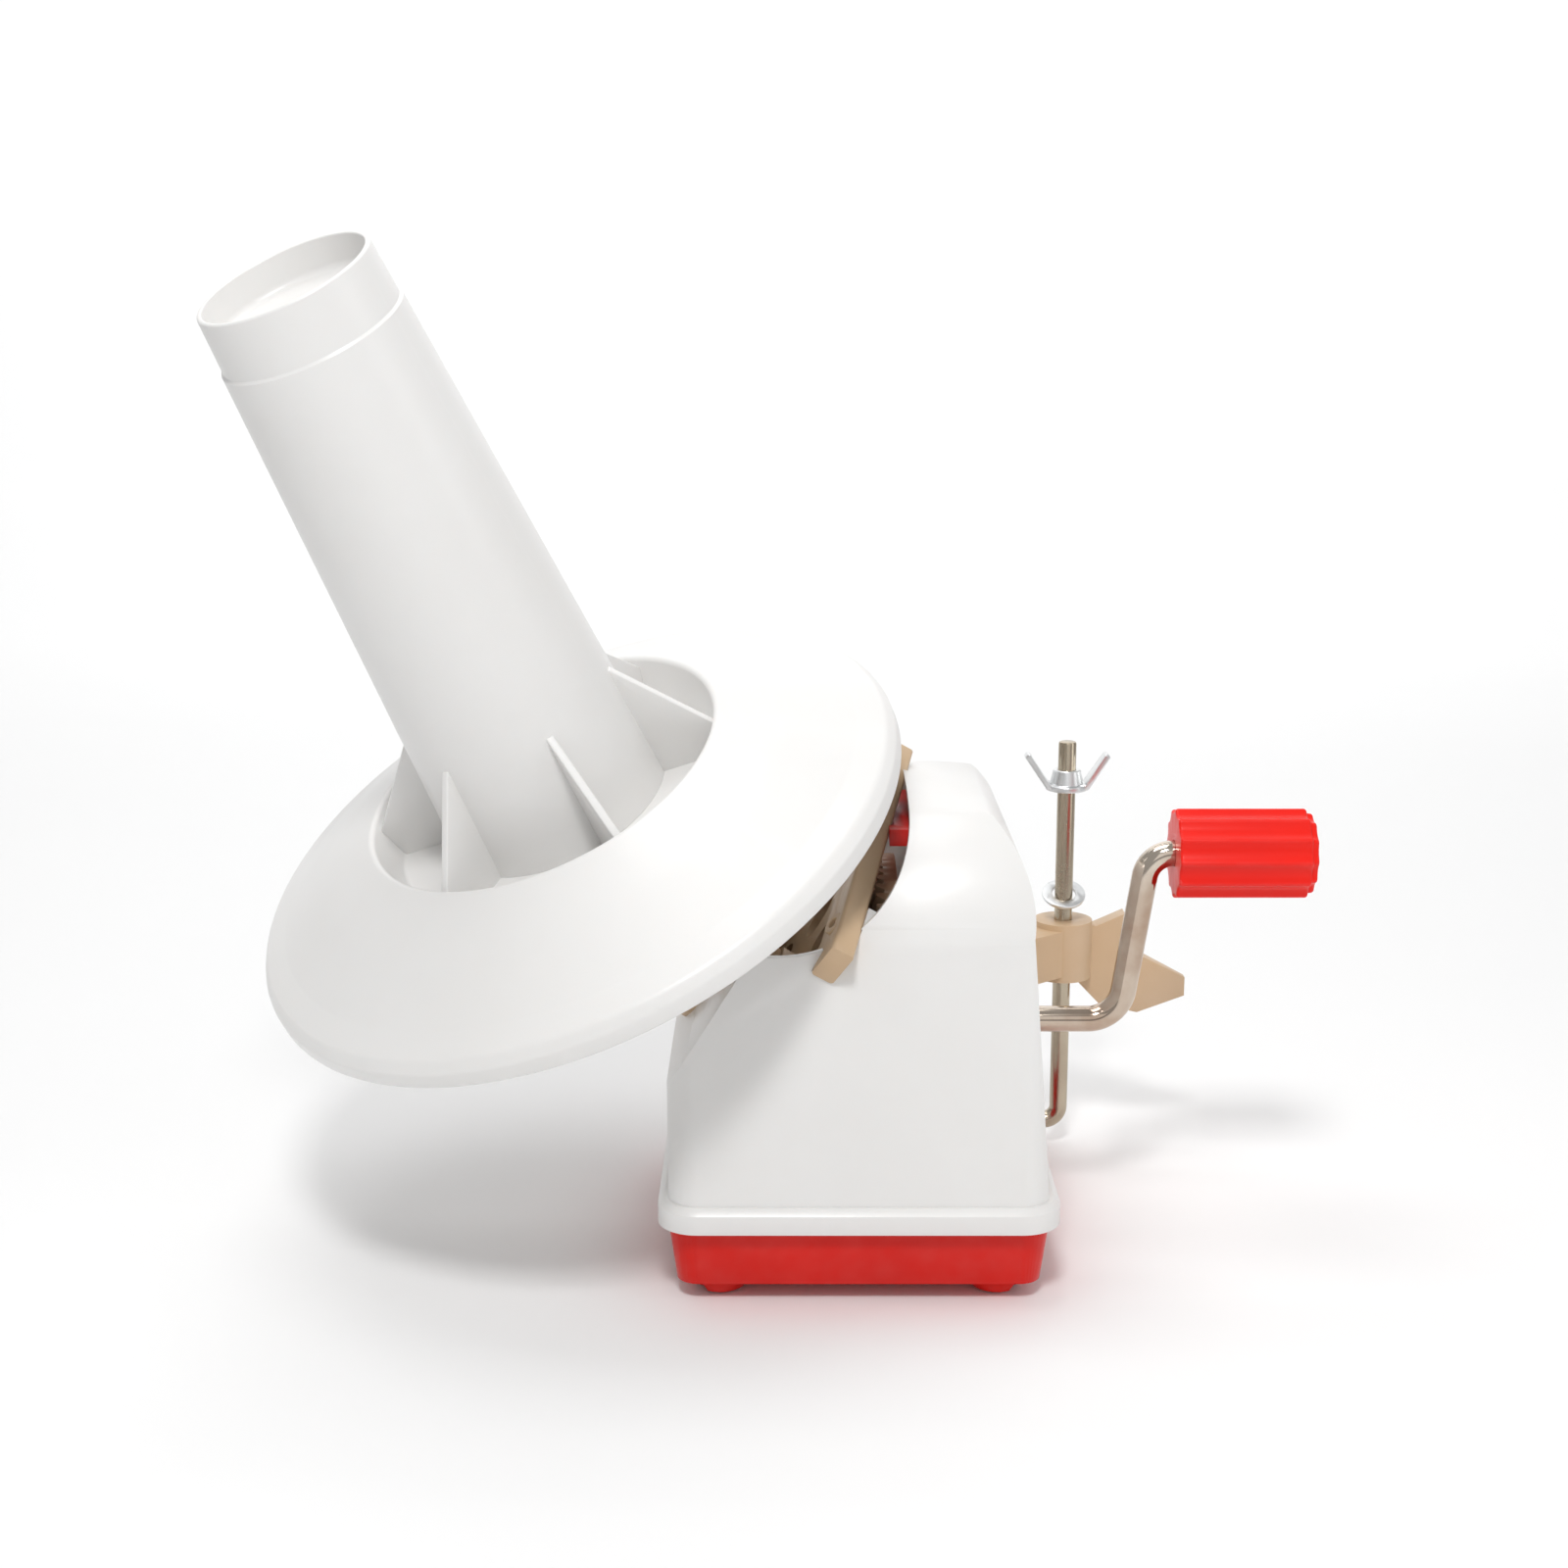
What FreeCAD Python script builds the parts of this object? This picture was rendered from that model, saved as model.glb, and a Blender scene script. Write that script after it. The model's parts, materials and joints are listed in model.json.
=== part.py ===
import FreeCAD, Part
import math
import os

from FreeCAD import Placement, Rotation, Vector

# Lengths are in millimetres. The origin is the centre of the base's underside, +Z up, with the crank
# on the +X side and the bobbin leaning out over -X.

# Running and fixed fits, and the gap left between faces that pass each other
RUN_GAP = 0.06
FIT_GAP = 0.02
FACE_GAP = 0.3

# Base tray and its moulded feet
BASE_LENGTH = 112.0
BASE_WIDTH = 118.0
BASE_TAPER = 2.5
BASE_HEIGHT = 17.5
BASE_CORNER = 9.0
BASE_WALL = 2.5
BASE_FLOOR = 2.5
FOOT_HEIGHT = 5.5
FOOT_RADIUS = 8.5
FOOT_INSET_X = 15.0
FOOT_INSET_Y = 14.0

# Housing
HOUSING_LENGTH = 112.0
HOUSING_WIDTH = 118.0
HOUSING_WALL = 2.5
HOUSING_CORNER = 9.0
LIP_OUT = 3.0
LIP_HEIGHT = 7.5
CROWN_HEIGHT = 142.5
CROWN_DROP = 6.0
CROWN_BACK_X = 38.0
SHOULDER_HEIGHT = 95.0
SHOULDER_HALF = 36.0
SHOULDER_DROP = 5.5
BACK_LEAN = 7.0
BACK_BEND_HEIGHT = 105.0
SCOOP_FRONT_P = 20.0
SCOOP_MIDDLE = (3.0, 111.0)
SCOOP_BACK_X = 14.0

# Rotor axis, raised from the horizontal, through the apex where bobbin and rotor axes cross
ROTOR_TILT = 32.0
APEX_X = -78.0
APEX_Z = 106.5
FRONT_FACE_DEPTH = 43.0

# Bobbin axis: its angle to the rotor axis, and where the rotor stands in the rest position
BOBBIN_TILT = 40.5
REST_PHASE = 32.5
FLANGE_HEIGHT = 22.0
FLANGE_RADIUS = 103.0
FLANGE_THICKNESS = 2.4
FLANGE_CROWN = 5.0
RIM_DROP = 6.5
SKIRT_RADIUS = 94.0
SKIRT_DROP = 9.0
WELL_RADIUS = 51.0
WELL_DEPTH = 5.5
TOWER_BOTTOM_RADIUS = 34.5
TOWER_TOP_RADIUS = 25.5
TOWER_TOP_HEIGHT = 209.0
TOWER_WALL = 2.2
COLLAR_LENGTH = 27.0
COLLAR_STEP = 0.7
CUP_DEPTH = 14.0
RIB_COUNT = 6
RIB_THICKNESS = 2.4
RIB_HEIGHT = 36.0
RIB_TURN = 0.5
BOBBIN_SCREW_CIRCLE = 14.0
BOBBIN_HUB_RADIUS = 9.0
BOBBIN_HUB_TOP = 48.0

# Spindle and elbow
SPINDLE_RADIUS = 4.0
SPINDLE_NUT_RADIUS = 8.0
SPINDLE_NUT_HEIGHT = 5.0
ELBOW_RADIUS = 10.5
THRUST_WASHER_THICKNESS = 1.2
ROTOR_SHAFT_RADIUS = 6.0
SOCKET_FLOOR = 3.0

# Crank gear and rotor gear, an equal pair of bevel gears
CRANK_Z = 63.0
CRANK_GEAR_TEETH = 72
CRANK_GEAR_RADIUS = 52.0
CRANK_FACE_WIDTH = 9.0
GEAR_RIM = 4.0
GEAR_HUB_RADIUS = 12.0
GRUB_RADIUS = 1.5
GRUB_INSET = 3.5
GEAR_HUB_STEP = 3.0
WEB_HOLE_COUNT = 6
WEB_HOLE_CIRCLE = 27.5
WEB_HOLE_RADIUS = 8.0
ROTOR_GEAR_REACH = 23.6
ROTOR_SHAFT_REACH = 7.0

# Fixed sun gear and the bobbin's gear
SUN_TEETH = 28
BOBBIN_TEETH = 24
BOBBIN_GEAR_RADIUS = 21.0
SUN_FACE_WIDTH = 6.0
SUN_TUBE_RADIUS = 12.0
SUN_FLANGE_RADIUS = 22.0
SUN_FLANGE_THICKNESS = 3.0

# Tooth shape, in modules, shared by all four gears
ADDENDUM = 0.8
DEDENDUM = 1.05
TOOTH_SHARE = 0.44
FLANK_ANGLE = 20.0
ROOT_OVERLAP = 0.15

# Rotor bearing behind the front face
BEARING_FLANGE_THICKNESS = 3.0
BEARING_BOSS_RADIUS = 11.0
BUSHING_RADIUS = 8.0
BEARING_SCREW_CIRCLE = 17.5

# Crank, its bushings and the grip
CRANK_ROD_RADIUS = 4.0
CRANK_INNER_X = -1.5
CRANK_BEND_X = 82.0
CRANK_THROW = 53.0
CRANK_ARM_LEAN = 8.5
CRANK_LOW_BEND = 11.0
CRANK_HIGH_BEND = 8.5
CRANK_BUSHING_RADIUS = 7.0
CRANK_BOSS_RADIUS = 10.5
CRANK_BOSS_LENGTH = 12.0
CRANK_COLLAR_RADIUS = 8.0
CRANK_COLLAR_WIDTH = 5.0
GRIP_START_X = 97.5
GRIP_LENGTH = 42.0
GRIP_RADIUS = 14.0
GRIP_FLUTES = 12
GRIP_FLUTE_DEPTH = 1.4
GRIP_END_WALL = 3.5

# Inner chassis
CHASSIS_FLOOR = 3.0
CHASSIS_LENGTH = 90.0
CHASSIS_WIDTH = 78.0
UPRIGHT_X = 18.0
UPRIGHT_THICKNESS = 3.0
UPRIGHT_HALF = 46.0
UPRIGHT_TOP = 130.0
UPRIGHT_TOP_HALF = 28.0
UPRIGHT_SHOULDER = 92.0
HOOD_LENGTH = 9.0
HOOD_THICKNESS = 5.0
GUSSET_Y = 22.0
GUSSET_THICKNESS = 3.0
GUSSET_LENGTH = 22.0
GUSSET_HEIGHT = 34.0

# Bar beside the gear opening
BAR_LOW = (-8.4, -63.5, 99.0)
BAR_HIGH = (11.9, 11.0, 143.3)
BAR_WIDTH = 14.0
BAR_THICKNESS = 7.0
BAR_EDGE = 1.2
BAR_PIN_REACH = 13.5
BAR_PIN_RADIUS = 1.6
BAR_PIN_DEPTH = 8.0
BAR_PIN_SINK = 0.8
BAR_SEAT_DEPTH = 10.0
BAR_SEAT_LENGTH = 20.0

# Clamp: rod, bracket, washer and wing nut
CLAMP_X = 73.0
CLAMP_Y = 70.0
CLAMP_ROD_RADIUS = 3.0
CLAMP_ROD_TOP = 137.5
CLAMP_HOOK_Z = 4.0
CLAMP_HOOK_REACH = 9.0
CLAMP_HOOK_BEND = 5.0
BRACKET_BOSS_RADIUS = 9.8
BRACKET_BOSS_LOW = 56.0
BRACKET_BOSS_HIGH = 76.0
BRACKET_PLATE = 4.0
BRACKET_PLATE_INNER_Y = 28.0
BRACKET_PLATE_OUTER_Y = 56.0
BRACKET_WEB_INNER_Y = 69.0
BRACKET_WEB_OUTER_Y = 76.0
BRACKET_TAIL_X = 115.0
WASHER_Z = 84.6
WASHER_RADIUS = 7.3
WASHER_THICKNESS = 1.3
WASHER_BORE = 4.0
WASHER_LEAN = 26.0
WING_NUT_Z = 121.0
WING_NUT_RADIUS = 5.2
WING_FLANGE_RADIUS = 7.0
WING_FLANGE_HEIGHT = 2.0
WING_HUB_HEIGHT = 7.0
WING_THICKNESS = 2.2
WING_SPAN = 14.5

# Screws
SCREW_RADIUS = 1.5
SCREW_HEAD_RADIUS = 3.0
SCREW_HEAD_HEIGHT = 1.8
POST_RADIUS = 4.5
POST_X = 45.5
POST_Y = 48.5
POST_RISE = 14.0
POST_RIB = 3.0
CHASSIS_SCREW_X = 38.0
CHASSIS_SCREW_Y = 32.0


def unit(angle_deg, first, second):
    """Direction at an angle from the first unit vector towards the second."""
    angle = math.radians(angle_deg)
    return first * math.cos(angle) + second * math.sin(angle)


APEX = Vector(APEX_X, 0, APEX_Z)
ROTOR_AXIS = unit(ROTOR_TILT, Vector(-1, 0, 0), Vector(0, 0, 1))
ROTOR_UP = unit(ROTOR_TILT, Vector(0, 0, 1), Vector(1, 0, 0))
LEAN = unit(REST_PHASE, ROTOR_UP, Vector(0, -1, 0))
BOBBIN_AXIS = unit(BOBBIN_TILT, ROTOR_AXIS, LEAN)
CRANK_APEX_DEPTH = (APEX_Z - CRANK_Z) / math.sin(math.radians(ROTOR_TILT))
CRANK_APEX = APEX - ROTOR_AXIS * CRANK_APEX_DEPTH
CRANK_AXIS = Vector(1, 0, 0)

# Cone angles: equal for the crank pair, from the tooth ratio for the sun pair
CRANK_CONE = (180.0 - ROTOR_TILT) / 2
SUN_SHAFT_ANGLE = math.radians(180.0 - BOBBIN_TILT)
TOOTH_RATIO = SUN_TEETH / BOBBIN_TEETH
BOBBIN_CONE = math.degrees(math.atan2(math.sin(SUN_SHAFT_ANGLE), TOOTH_RATIO + math.cos(SUN_SHAFT_ANGLE)))
SUN_CONE = 180.0 - BOBBIN_TILT - BOBBIN_CONE
SUN_CONE_LENGTH = BOBBIN_GEAR_RADIUS / math.sin(math.radians(BOBBIN_CONE))
MESH_UP = unit(CRANK_CONE, CRANK_AXIS, Vector(0, 0, 1))
MESH_SUN = unit(180.0 - SUN_CONE, ROTOR_AXIS, LEAN)

# Heights along the bobbin axis and depths behind the apex that follow from the sizes above
WELL_FLOOR_TOP = FLANGE_HEIGHT + FLANGE_CROWN - WELL_DEPTH
WELL_FLOOR_BOTTOM = WELL_FLOOR_TOP - FLANGE_THICKNESS
ELBOW_FLAT = ELBOW_RADIUS - 1.0
BOBBIN_GEAR_FOOT = ELBOW_FLAT + THRUST_WASHER_THICKNESS + FACE_GAP / 2
FACE_INNER_DEPTH = FRONT_FACE_DEPTH + HOUSING_WALL
ROTOR_GEAR_FRONT = CRANK_APEX_DEPTH - ROTOR_GEAR_REACH
BEARING_END = ROTOR_GEAR_FRONT - FACE_GAP
ROTOR_SHAFT_END = CRANK_APEX_DEPTH - ROTOR_SHAFT_REACH
GRIP_Z = CRANK_Z + CRANK_THROW
BUSHING_INNER_START = UPRIGHT_X - 1.0
BUSHING_INNER_END = UPRIGHT_X + UPRIGHT_THICKNESS + CRANK_BOSS_LENGTH


def placed(shape, origin, z_axis, x_axis):
    """Moves a shape built about +Z so that +Z and +X point along the given directions."""
    y_axis = z_axis.cross(x_axis)
    turned_shape = shape.copy()
    turned_shape.Placement = Placement(origin, Rotation(x_axis, y_axis, z_axis, "ZXY"))
    return turned_shape


def turned(profile, origin=Vector(0, 0, 0), axis=Vector(0, 0, 1)):
    """Solid of revolution from (radius, height) points about an axis."""
    points = [Vector(radius, 0, height) for radius, height in profile]
    face = Part.Face(Part.makePolygon(points + points[:1]))
    solid = face.revolve(Vector(0, 0, 0), Vector(0, 0, 1), 360)
    solid.Placement = Placement(origin, Rotation(Vector(0, 0, 1), axis))
    return solid


def rod(start, end, radius):
    """Cylinder between two points."""
    along = end - start
    return Part.makeCylinder(radius, along.Length, start, along)


def tube(start, end, outer, inner):
    """Hollow cylinder between two points."""
    overrun = (end - start).normalize()
    return rod(start, end, outer).cut(rod(start - overrun, end + overrun, inner))


def rounded_plan(length, width, corner, z_low, z_high):
    """Upright block with rounded vertical edges, centred on the Z axis."""
    block = Part.makeBox(length, width, z_high - z_low, Vector(-length / 2, -width / 2, z_low))
    uprights = [edge for edge in block.Edges if abs(edge.tangentAt(edge.FirstParameter).z) > 0.99]
    return block.makeFillet(corner, uprights)


def prism(edges, along):
    """Extrudes a closed outline of edges."""
    return Part.Face(Part.Wire(edges)).extrude(along)


def flat_prism(points, along):
    """Extrudes a closed polygon."""
    return Part.Face(Part.makePolygon(points + points[:1])).extrude(along)


def joined(shapes):
    """Fuses shapes into one and drops the seams between them."""
    return shapes[0].fuse(shapes[1:]).removeSplitter()


def rotor_point(depth, up, across=0.0):
    """Point behind the apex along the rotor axis, offset up and across."""
    return APEX - ROTOR_AXIS * depth + ROTOR_UP * up + Vector(0, across, 0)


def bobbin_point(height):
    """Point on the bobbin axis."""
    return APEX + BOBBIN_AXIS * height


def back_wall_x(height):
    """Outer X of the leaning back wall at a height below its bend."""
    share = (height - BASE_HEIGHT) / (BACK_BEND_HEIGHT - BASE_HEIGHT)
    return HOUSING_LENGTH / 2 - BACK_LEAN * share


def raised(point, height):
    """Point moved up by a height."""
    return point + Vector(0, 0, height)


def corner_places(x_centre, y_centre, height):
    """The four corners of a rectangle at a height."""
    signs = [(x_sign, y_sign) for x_sign in (-1, 1) for y_sign in (-1, 1)]
    return [Vector(x_sign * x_centre, y_sign * y_centre, height) for x_sign, y_sign in signs]


def screw(head_point, direction, length):
    """Pan-head screw whose head sits on a face and whose shank runs along a direction."""
    head = rod(head_point - direction * SCREW_HEAD_HEIGHT, head_point, SCREW_HEAD_RADIUS)
    shank = rod(head_point, head_point + direction * length, SCREW_RADIUS)
    return joined([head, shank])


def base_shell():
    """Tapered tray with posts, feet and screw holes."""
    inset = 2 * BASE_TAPER
    low = rounded_plan(BASE_LENGTH - inset, BASE_WIDTH - inset, BASE_CORNER - BASE_TAPER, 0, 1)
    high = rounded_plan(BASE_LENGTH, BASE_WIDTH, BASE_CORNER, BASE_HEIGHT - 1, BASE_HEIGHT)
    low_wire = [face.OuterWire for face in low.Faces if face.normalAt(0, 0).z < -0.99][0]
    high_wire = [face.OuterWire for face in high.Faces if face.normalAt(0, 0).z > 0.99][0]
    outer = Part.makeLoft([low_wire, high_wire], True, True)
    hollow_length = BASE_LENGTH - inset - 2 * BASE_WALL
    hollow_width = BASE_WIDTH - inset - 2 * BASE_WALL
    hollow = rounded_plan(hollow_length, hollow_width, BASE_CORNER - BASE_TAPER - BASE_WALL,
                          BASE_FLOOR, BASE_HEIGHT + 1)
    shell = outer.cut(hollow)
    for place in corner_places(BASE_LENGTH / 2 - FOOT_INSET_X, BASE_WIDTH / 2 - FOOT_INSET_Y, 0):
        shell = shell.fuse(foot(place.x, place.y))
    hole_radius = SCREW_RADIUS + FIT_GAP
    recess_radius = SCREW_HEAD_RADIUS + FACE_GAP
    cuts = []
    for place in corner_places(POST_X, POST_Y, 0):
        shell = shell.fuse(rod(raised(place, BASE_FLOOR / 2), raised(place, BASE_HEIGHT), POST_RADIUS))
        below = raised(place, -FOOT_HEIGHT - 1)
        cuts.append(rod(below, raised(place, BASE_HEIGHT + 1), hole_radius))
        cuts.append(rod(below, raised(place, SCREW_HEAD_HEIGHT + FACE_GAP), recess_radius))
    for place in corner_places(CHASSIS_SCREW_X, CHASSIS_SCREW_Y, 0):
        cuts.append(rod(raised(place, -1), raised(place, BASE_FLOOR + 1), hole_radius))
    return shell.cut(cuts).removeSplitter()


def foot(x_centre, y_centre):
    """Moulded foot with a rounded edge and a flat underside."""
    edge = FOOT_HEIGHT * 0.6
    top = BASE_FLOOR / 2
    profile = [(0, -FOOT_HEIGHT), (FOOT_RADIUS - edge, -FOOT_HEIGHT),
               (FOOT_RADIUS - edge * 0.3, -FOOT_HEIGHT * 0.78), (FOOT_RADIUS, -FOOT_HEIGHT * 0.35),
               (FOOT_RADIUS, top), (0, top)]
    return turned(profile, Vector(x_centre, y_centre, 0))


def front_face_point(inset, height):
    """Point of the slanted front plane at a height, moved inwards by an inset."""
    depth = FRONT_FACE_DEPTH + inset
    level = rotor_point(depth, 0)
    return level + ROTOR_UP * ((height - level.z) / ROTOR_UP.z)


def housing_side(inset, bottom):
    """Side outline of the housing before its scoop, moved inwards by an inset, as a prism across Y."""
    reach = HOUSING_WIDTH / 2 + 1
    front_x = -HOUSING_LENGTH / 2 + inset
    level = rotor_point(FRONT_FACE_DEPTH + inset, 0)
    knee = level + ROTOR_UP * ((front_x - level.x) / ROTOR_UP.x)
    crown_z = CROWN_HEIGHT - inset
    crown_slope = CROWN_DROP / (CROWN_BACK_X - SCOOP_BACK_X)
    brow = front_face_point(inset, crown_z)
    points = [Vector(front_x, 0, bottom), knee, brow, Vector(SCOOP_BACK_X, 0, crown_z),
              Vector(CROWN_BACK_X, 0, crown_z - crown_slope * (CROWN_BACK_X - SCOOP_BACK_X))]
    bend = Vector(HOUSING_LENGTH / 2 - BACK_LEAN - inset, 0, BACK_BEND_HEIGHT)
    corner_x = (points[-1].x + 2 * bend.x) / 3
    corner = Vector(corner_x, 0, bend.z + (points[-1].z - bend.z) * 0.68)
    foot_point = Vector(back_wall_x(bottom) - inset, 0, bottom)
    edges = [Part.makeLine(points[i], points[i + 1]) for i in range(len(points) - 1)]
    edges.append(Part.Arc(points[-1], corner, bend).toShape())
    edges.append(Part.makeLine(bend, foot_point))
    edges.append(Part.makeLine(foot_point, points[0]))
    outline = prism(edges, Vector(0, 2 * reach, 0))
    outline.translate(Vector(0, -reach, 0))
    return outline


def housing_arch(inset, bottom):
    """Arched cross-section of the housing, moved inwards by an inset, as a prism along X."""
    half = HOUSING_WIDTH / 2 - inset
    shoulder = Vector(0, SHOULDER_HALF, CROWN_HEIGHT - SHOULDER_DROP - inset)
    haunch = Vector(0, (half + SHOULDER_HALF) / 2 + 4.5, (SHOULDER_HEIGHT + shoulder.z) / 2 + 6.0)
    spring_line = Vector(0, half, SHOULDER_HEIGHT)
    crown = Vector(0, 0, CROWN_HEIGHT - inset + FIT_GAP)

    def mirrored(point):
        return Vector(point.x, -point.y, point.z)

    foot_point = Vector(0, half, bottom)
    edges = [Part.makeLine(foot_point, spring_line),
             Part.Arc(spring_line, haunch, shoulder).toShape(),
             Part.Arc(shoulder, crown, mirrored(shoulder)).toShape(),
             Part.Arc(mirrored(shoulder), mirrored(haunch), mirrored(spring_line)).toShape(),
             Part.makeLine(mirrored(spring_line), mirrored(foot_point)),
             Part.makeLine(mirrored(foot_point), foot_point)]
    arch = prism(edges, Vector(HOUSING_LENGTH + 2, 0, 0))
    arch.translate(Vector(-HOUSING_LENGTH / 2 - 1, 0, 0))
    return arch


def scoop():
    """Saddle cut across the top, from the slanted front face up to the crown."""
    reach = HOUSING_WIDTH
    low = rotor_point(FRONT_FACE_DEPTH, SCOOP_FRONT_P)
    outside = low + ROTOR_AXIS * 30
    high = Vector(SCOOP_BACK_X, 0, CROWN_HEIGHT + 1)
    over = Vector(SCOOP_BACK_X, 0, CROWN_HEIGHT + 40)
    far = Vector(outside.x, 0, CROWN_HEIGHT + 40)
    edges = [Part.makeLine(outside, low),
             Part.Arc(low, Vector(SCOOP_MIDDLE[0], 0, SCOOP_MIDDLE[1]), high).toShape(),
             Part.makeLine(high, over),
             Part.makeLine(over, far),
             Part.makeLine(far, outside)]
    cutter = prism(edges, Vector(0, 2 * reach, 0))
    cutter.translate(Vector(0, -reach, 0))
    return cutter


def housing_shell():
    """White shell: arched walls, slanted front face, scooped top, lip, posts and the crank boss."""
    outer = housing_side(0, BASE_HEIGHT).common(housing_arch(0, BASE_HEIGHT))
    outer = outer.common(rounded_plan(HOUSING_LENGTH, HOUSING_WIDTH, HOUSING_CORNER, 0, CROWN_HEIGHT + 5))
    inner = housing_side(HOUSING_WALL, BASE_HEIGHT - 1).common(housing_arch(HOUSING_WALL, BASE_HEIGHT - 1))
    inner = inner.common(rounded_plan(HOUSING_LENGTH - 2 * HOUSING_WALL, HOUSING_WIDTH - 2 * HOUSING_WALL,
                                      HOUSING_CORNER - HOUSING_WALL, 0, CROWN_HEIGHT + 5))
    lip = rounded_plan(HOUSING_LENGTH + 2 * LIP_OUT, HOUSING_WIDTH + 2 * LIP_OUT,
                       HOUSING_CORNER + LIP_OUT, BASE_HEIGHT, BASE_HEIGHT + LIP_HEIGHT)
    top_ring = [edge for edge in lip.Edges if edge.CenterOfMass.z > BASE_HEIGHT + LIP_HEIGHT - 0.01]
    lip = lip.makeChamfer(LIP_OUT * 0.6, top_ring)
    shell = outer.cut(scoop()).fuse(lip).cut(inner)
    wall = Vector(back_wall_x(CRANK_Z), 0, CRANK_Z)
    boss_end = wall - CRANK_AXIS * CRANK_BOSS_LENGTH
    additions = [rod(boss_end, wall - CRANK_AXIS, CRANK_BOSS_RADIUS)]
    hole_radius = SCREW_RADIUS + FIT_GAP
    before_face = FRONT_FACE_DEPTH - 2
    behind_face = FACE_INNER_DEPTH + 2
    cuts = [rod(boss_end - CRANK_AXIS, wall + CRANK_AXIS * 5, CRANK_BUSHING_RADIUS + FIT_GAP),
            rod(rotor_point(before_face, 0), rotor_point(behind_face, 0), BUSHING_RADIUS)]
    rib_length = HOUSING_WIDTH / 2 - POST_Y - 1
    for low in corner_places(POST_X, POST_Y, BASE_HEIGHT):
        additions.append(rod(low, raised(low, POST_RISE), POST_RADIUS))
        rib_corner = Vector(low.x - POST_RIB / 2, low.y - (rib_length if low.y < 0 else 0), low.z)
        additions.append(Part.makeBox(POST_RIB, rib_length, POST_RISE, rib_corner))
        cuts.append(rod(raised(low, -1), raised(low, POST_RISE - 2), hole_radius))
    additions.append(bar_seat().common(outer))
    shell = shell.fuse(additions)
    cuts += [rod(rotor_point(before_face, up, across), rotor_point(behind_face, up, across), hole_radius)
             for up, across in bearing_screw_places()]
    cuts += [rod(start - CRANK_AXIS * 12, start + CRANK_AXIS * 2, hole_radius)
             for start in bracket_screw_places()]
    cuts.append(bar_block(FIT_GAP))
    cuts.append(bar_pin_rod(BAR_PIN_RADIUS + FIT_GAP, -BAR_THICKNESS / 2 - BAR_PIN_DEPTH, 0))
    return shell.cut(cuts).removeSplitter()


def bearing_screw_places():
    """Four places round the rotor axis, as offsets up and across."""
    places = []
    for index in range(4):
        angle = math.radians(45 + 90 * index)
        places.append((BEARING_SCREW_CIRCLE * math.cos(angle), BEARING_SCREW_CIRCLE * math.sin(angle)))
    return places


def chassis():
    """Red inner frame: floor, upright with the crank boss, hood over the gears and two gussets."""
    floor_top = BASE_FLOOR + CHASSIS_FLOOR
    floor = rounded_plan(CHASSIS_LENGTH, CHASSIS_WIDTH, 5.0, BASE_FLOOR, floor_top)
    outline = [Vector(UPRIGHT_X, UPRIGHT_HALF - 8, BASE_FLOOR),
               Vector(UPRIGHT_X, UPRIGHT_HALF, floor_top + 12),
               Vector(UPRIGHT_X, UPRIGHT_HALF, UPRIGHT_SHOULDER),
               Vector(UPRIGHT_X, UPRIGHT_TOP_HALF, UPRIGHT_TOP)]
    outline += [Vector(point.x, -point.y, point.z) for point in reversed(outline)]
    upright = flat_prism(outline, Vector(UPRIGHT_THICKNESS, 0, 0))
    hood = Part.makeBox(HOOD_LENGTH, 2 * UPRIGHT_TOP_HALF, HOOD_THICKNESS,
                        Vector(UPRIGHT_X - HOOD_LENGTH, -UPRIGHT_TOP_HALF, UPRIGHT_TOP - HOOD_THICKNESS))
    boss = rod(Vector(UPRIGHT_X, 0, CRANK_Z), Vector(BUSHING_INNER_END - 1, 0, CRANK_Z), CRANK_BOSS_RADIUS)
    pieces = [floor, upright, hood, boss]
    gusset_x = UPRIGHT_X + UPRIGHT_THICKNESS
    for y_sign in (-1, 1):
        y_low = y_sign * GUSSET_Y - GUSSET_THICKNESS / 2
        corners = [Vector(gusset_x, y_low, BASE_FLOOR), Vector(gusset_x + GUSSET_LENGTH, y_low, BASE_FLOOR),
                   Vector(gusset_x, y_low, floor_top + GUSSET_HEIGHT)]
        pieces.append(flat_prism(corners, Vector(0, GUSSET_THICKNESS, 0)))
    frame = joined(pieces)
    cuts = [rod(Vector(UPRIGHT_X - 2, 0, CRANK_Z), Vector(BUSHING_INNER_END + 2, 0, CRANK_Z),
                CRANK_BUSHING_RADIUS + FIT_GAP)]
    for place in corner_places(CHASSIS_SCREW_X, CHASSIS_SCREW_Y, 0):
        cuts.append(rod(place, raised(place, floor_top + 2), SCREW_RADIUS + FIT_GAP))
    cuts.append(bar_block(FACE_GAP))
    return frame.cut(cuts)


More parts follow.
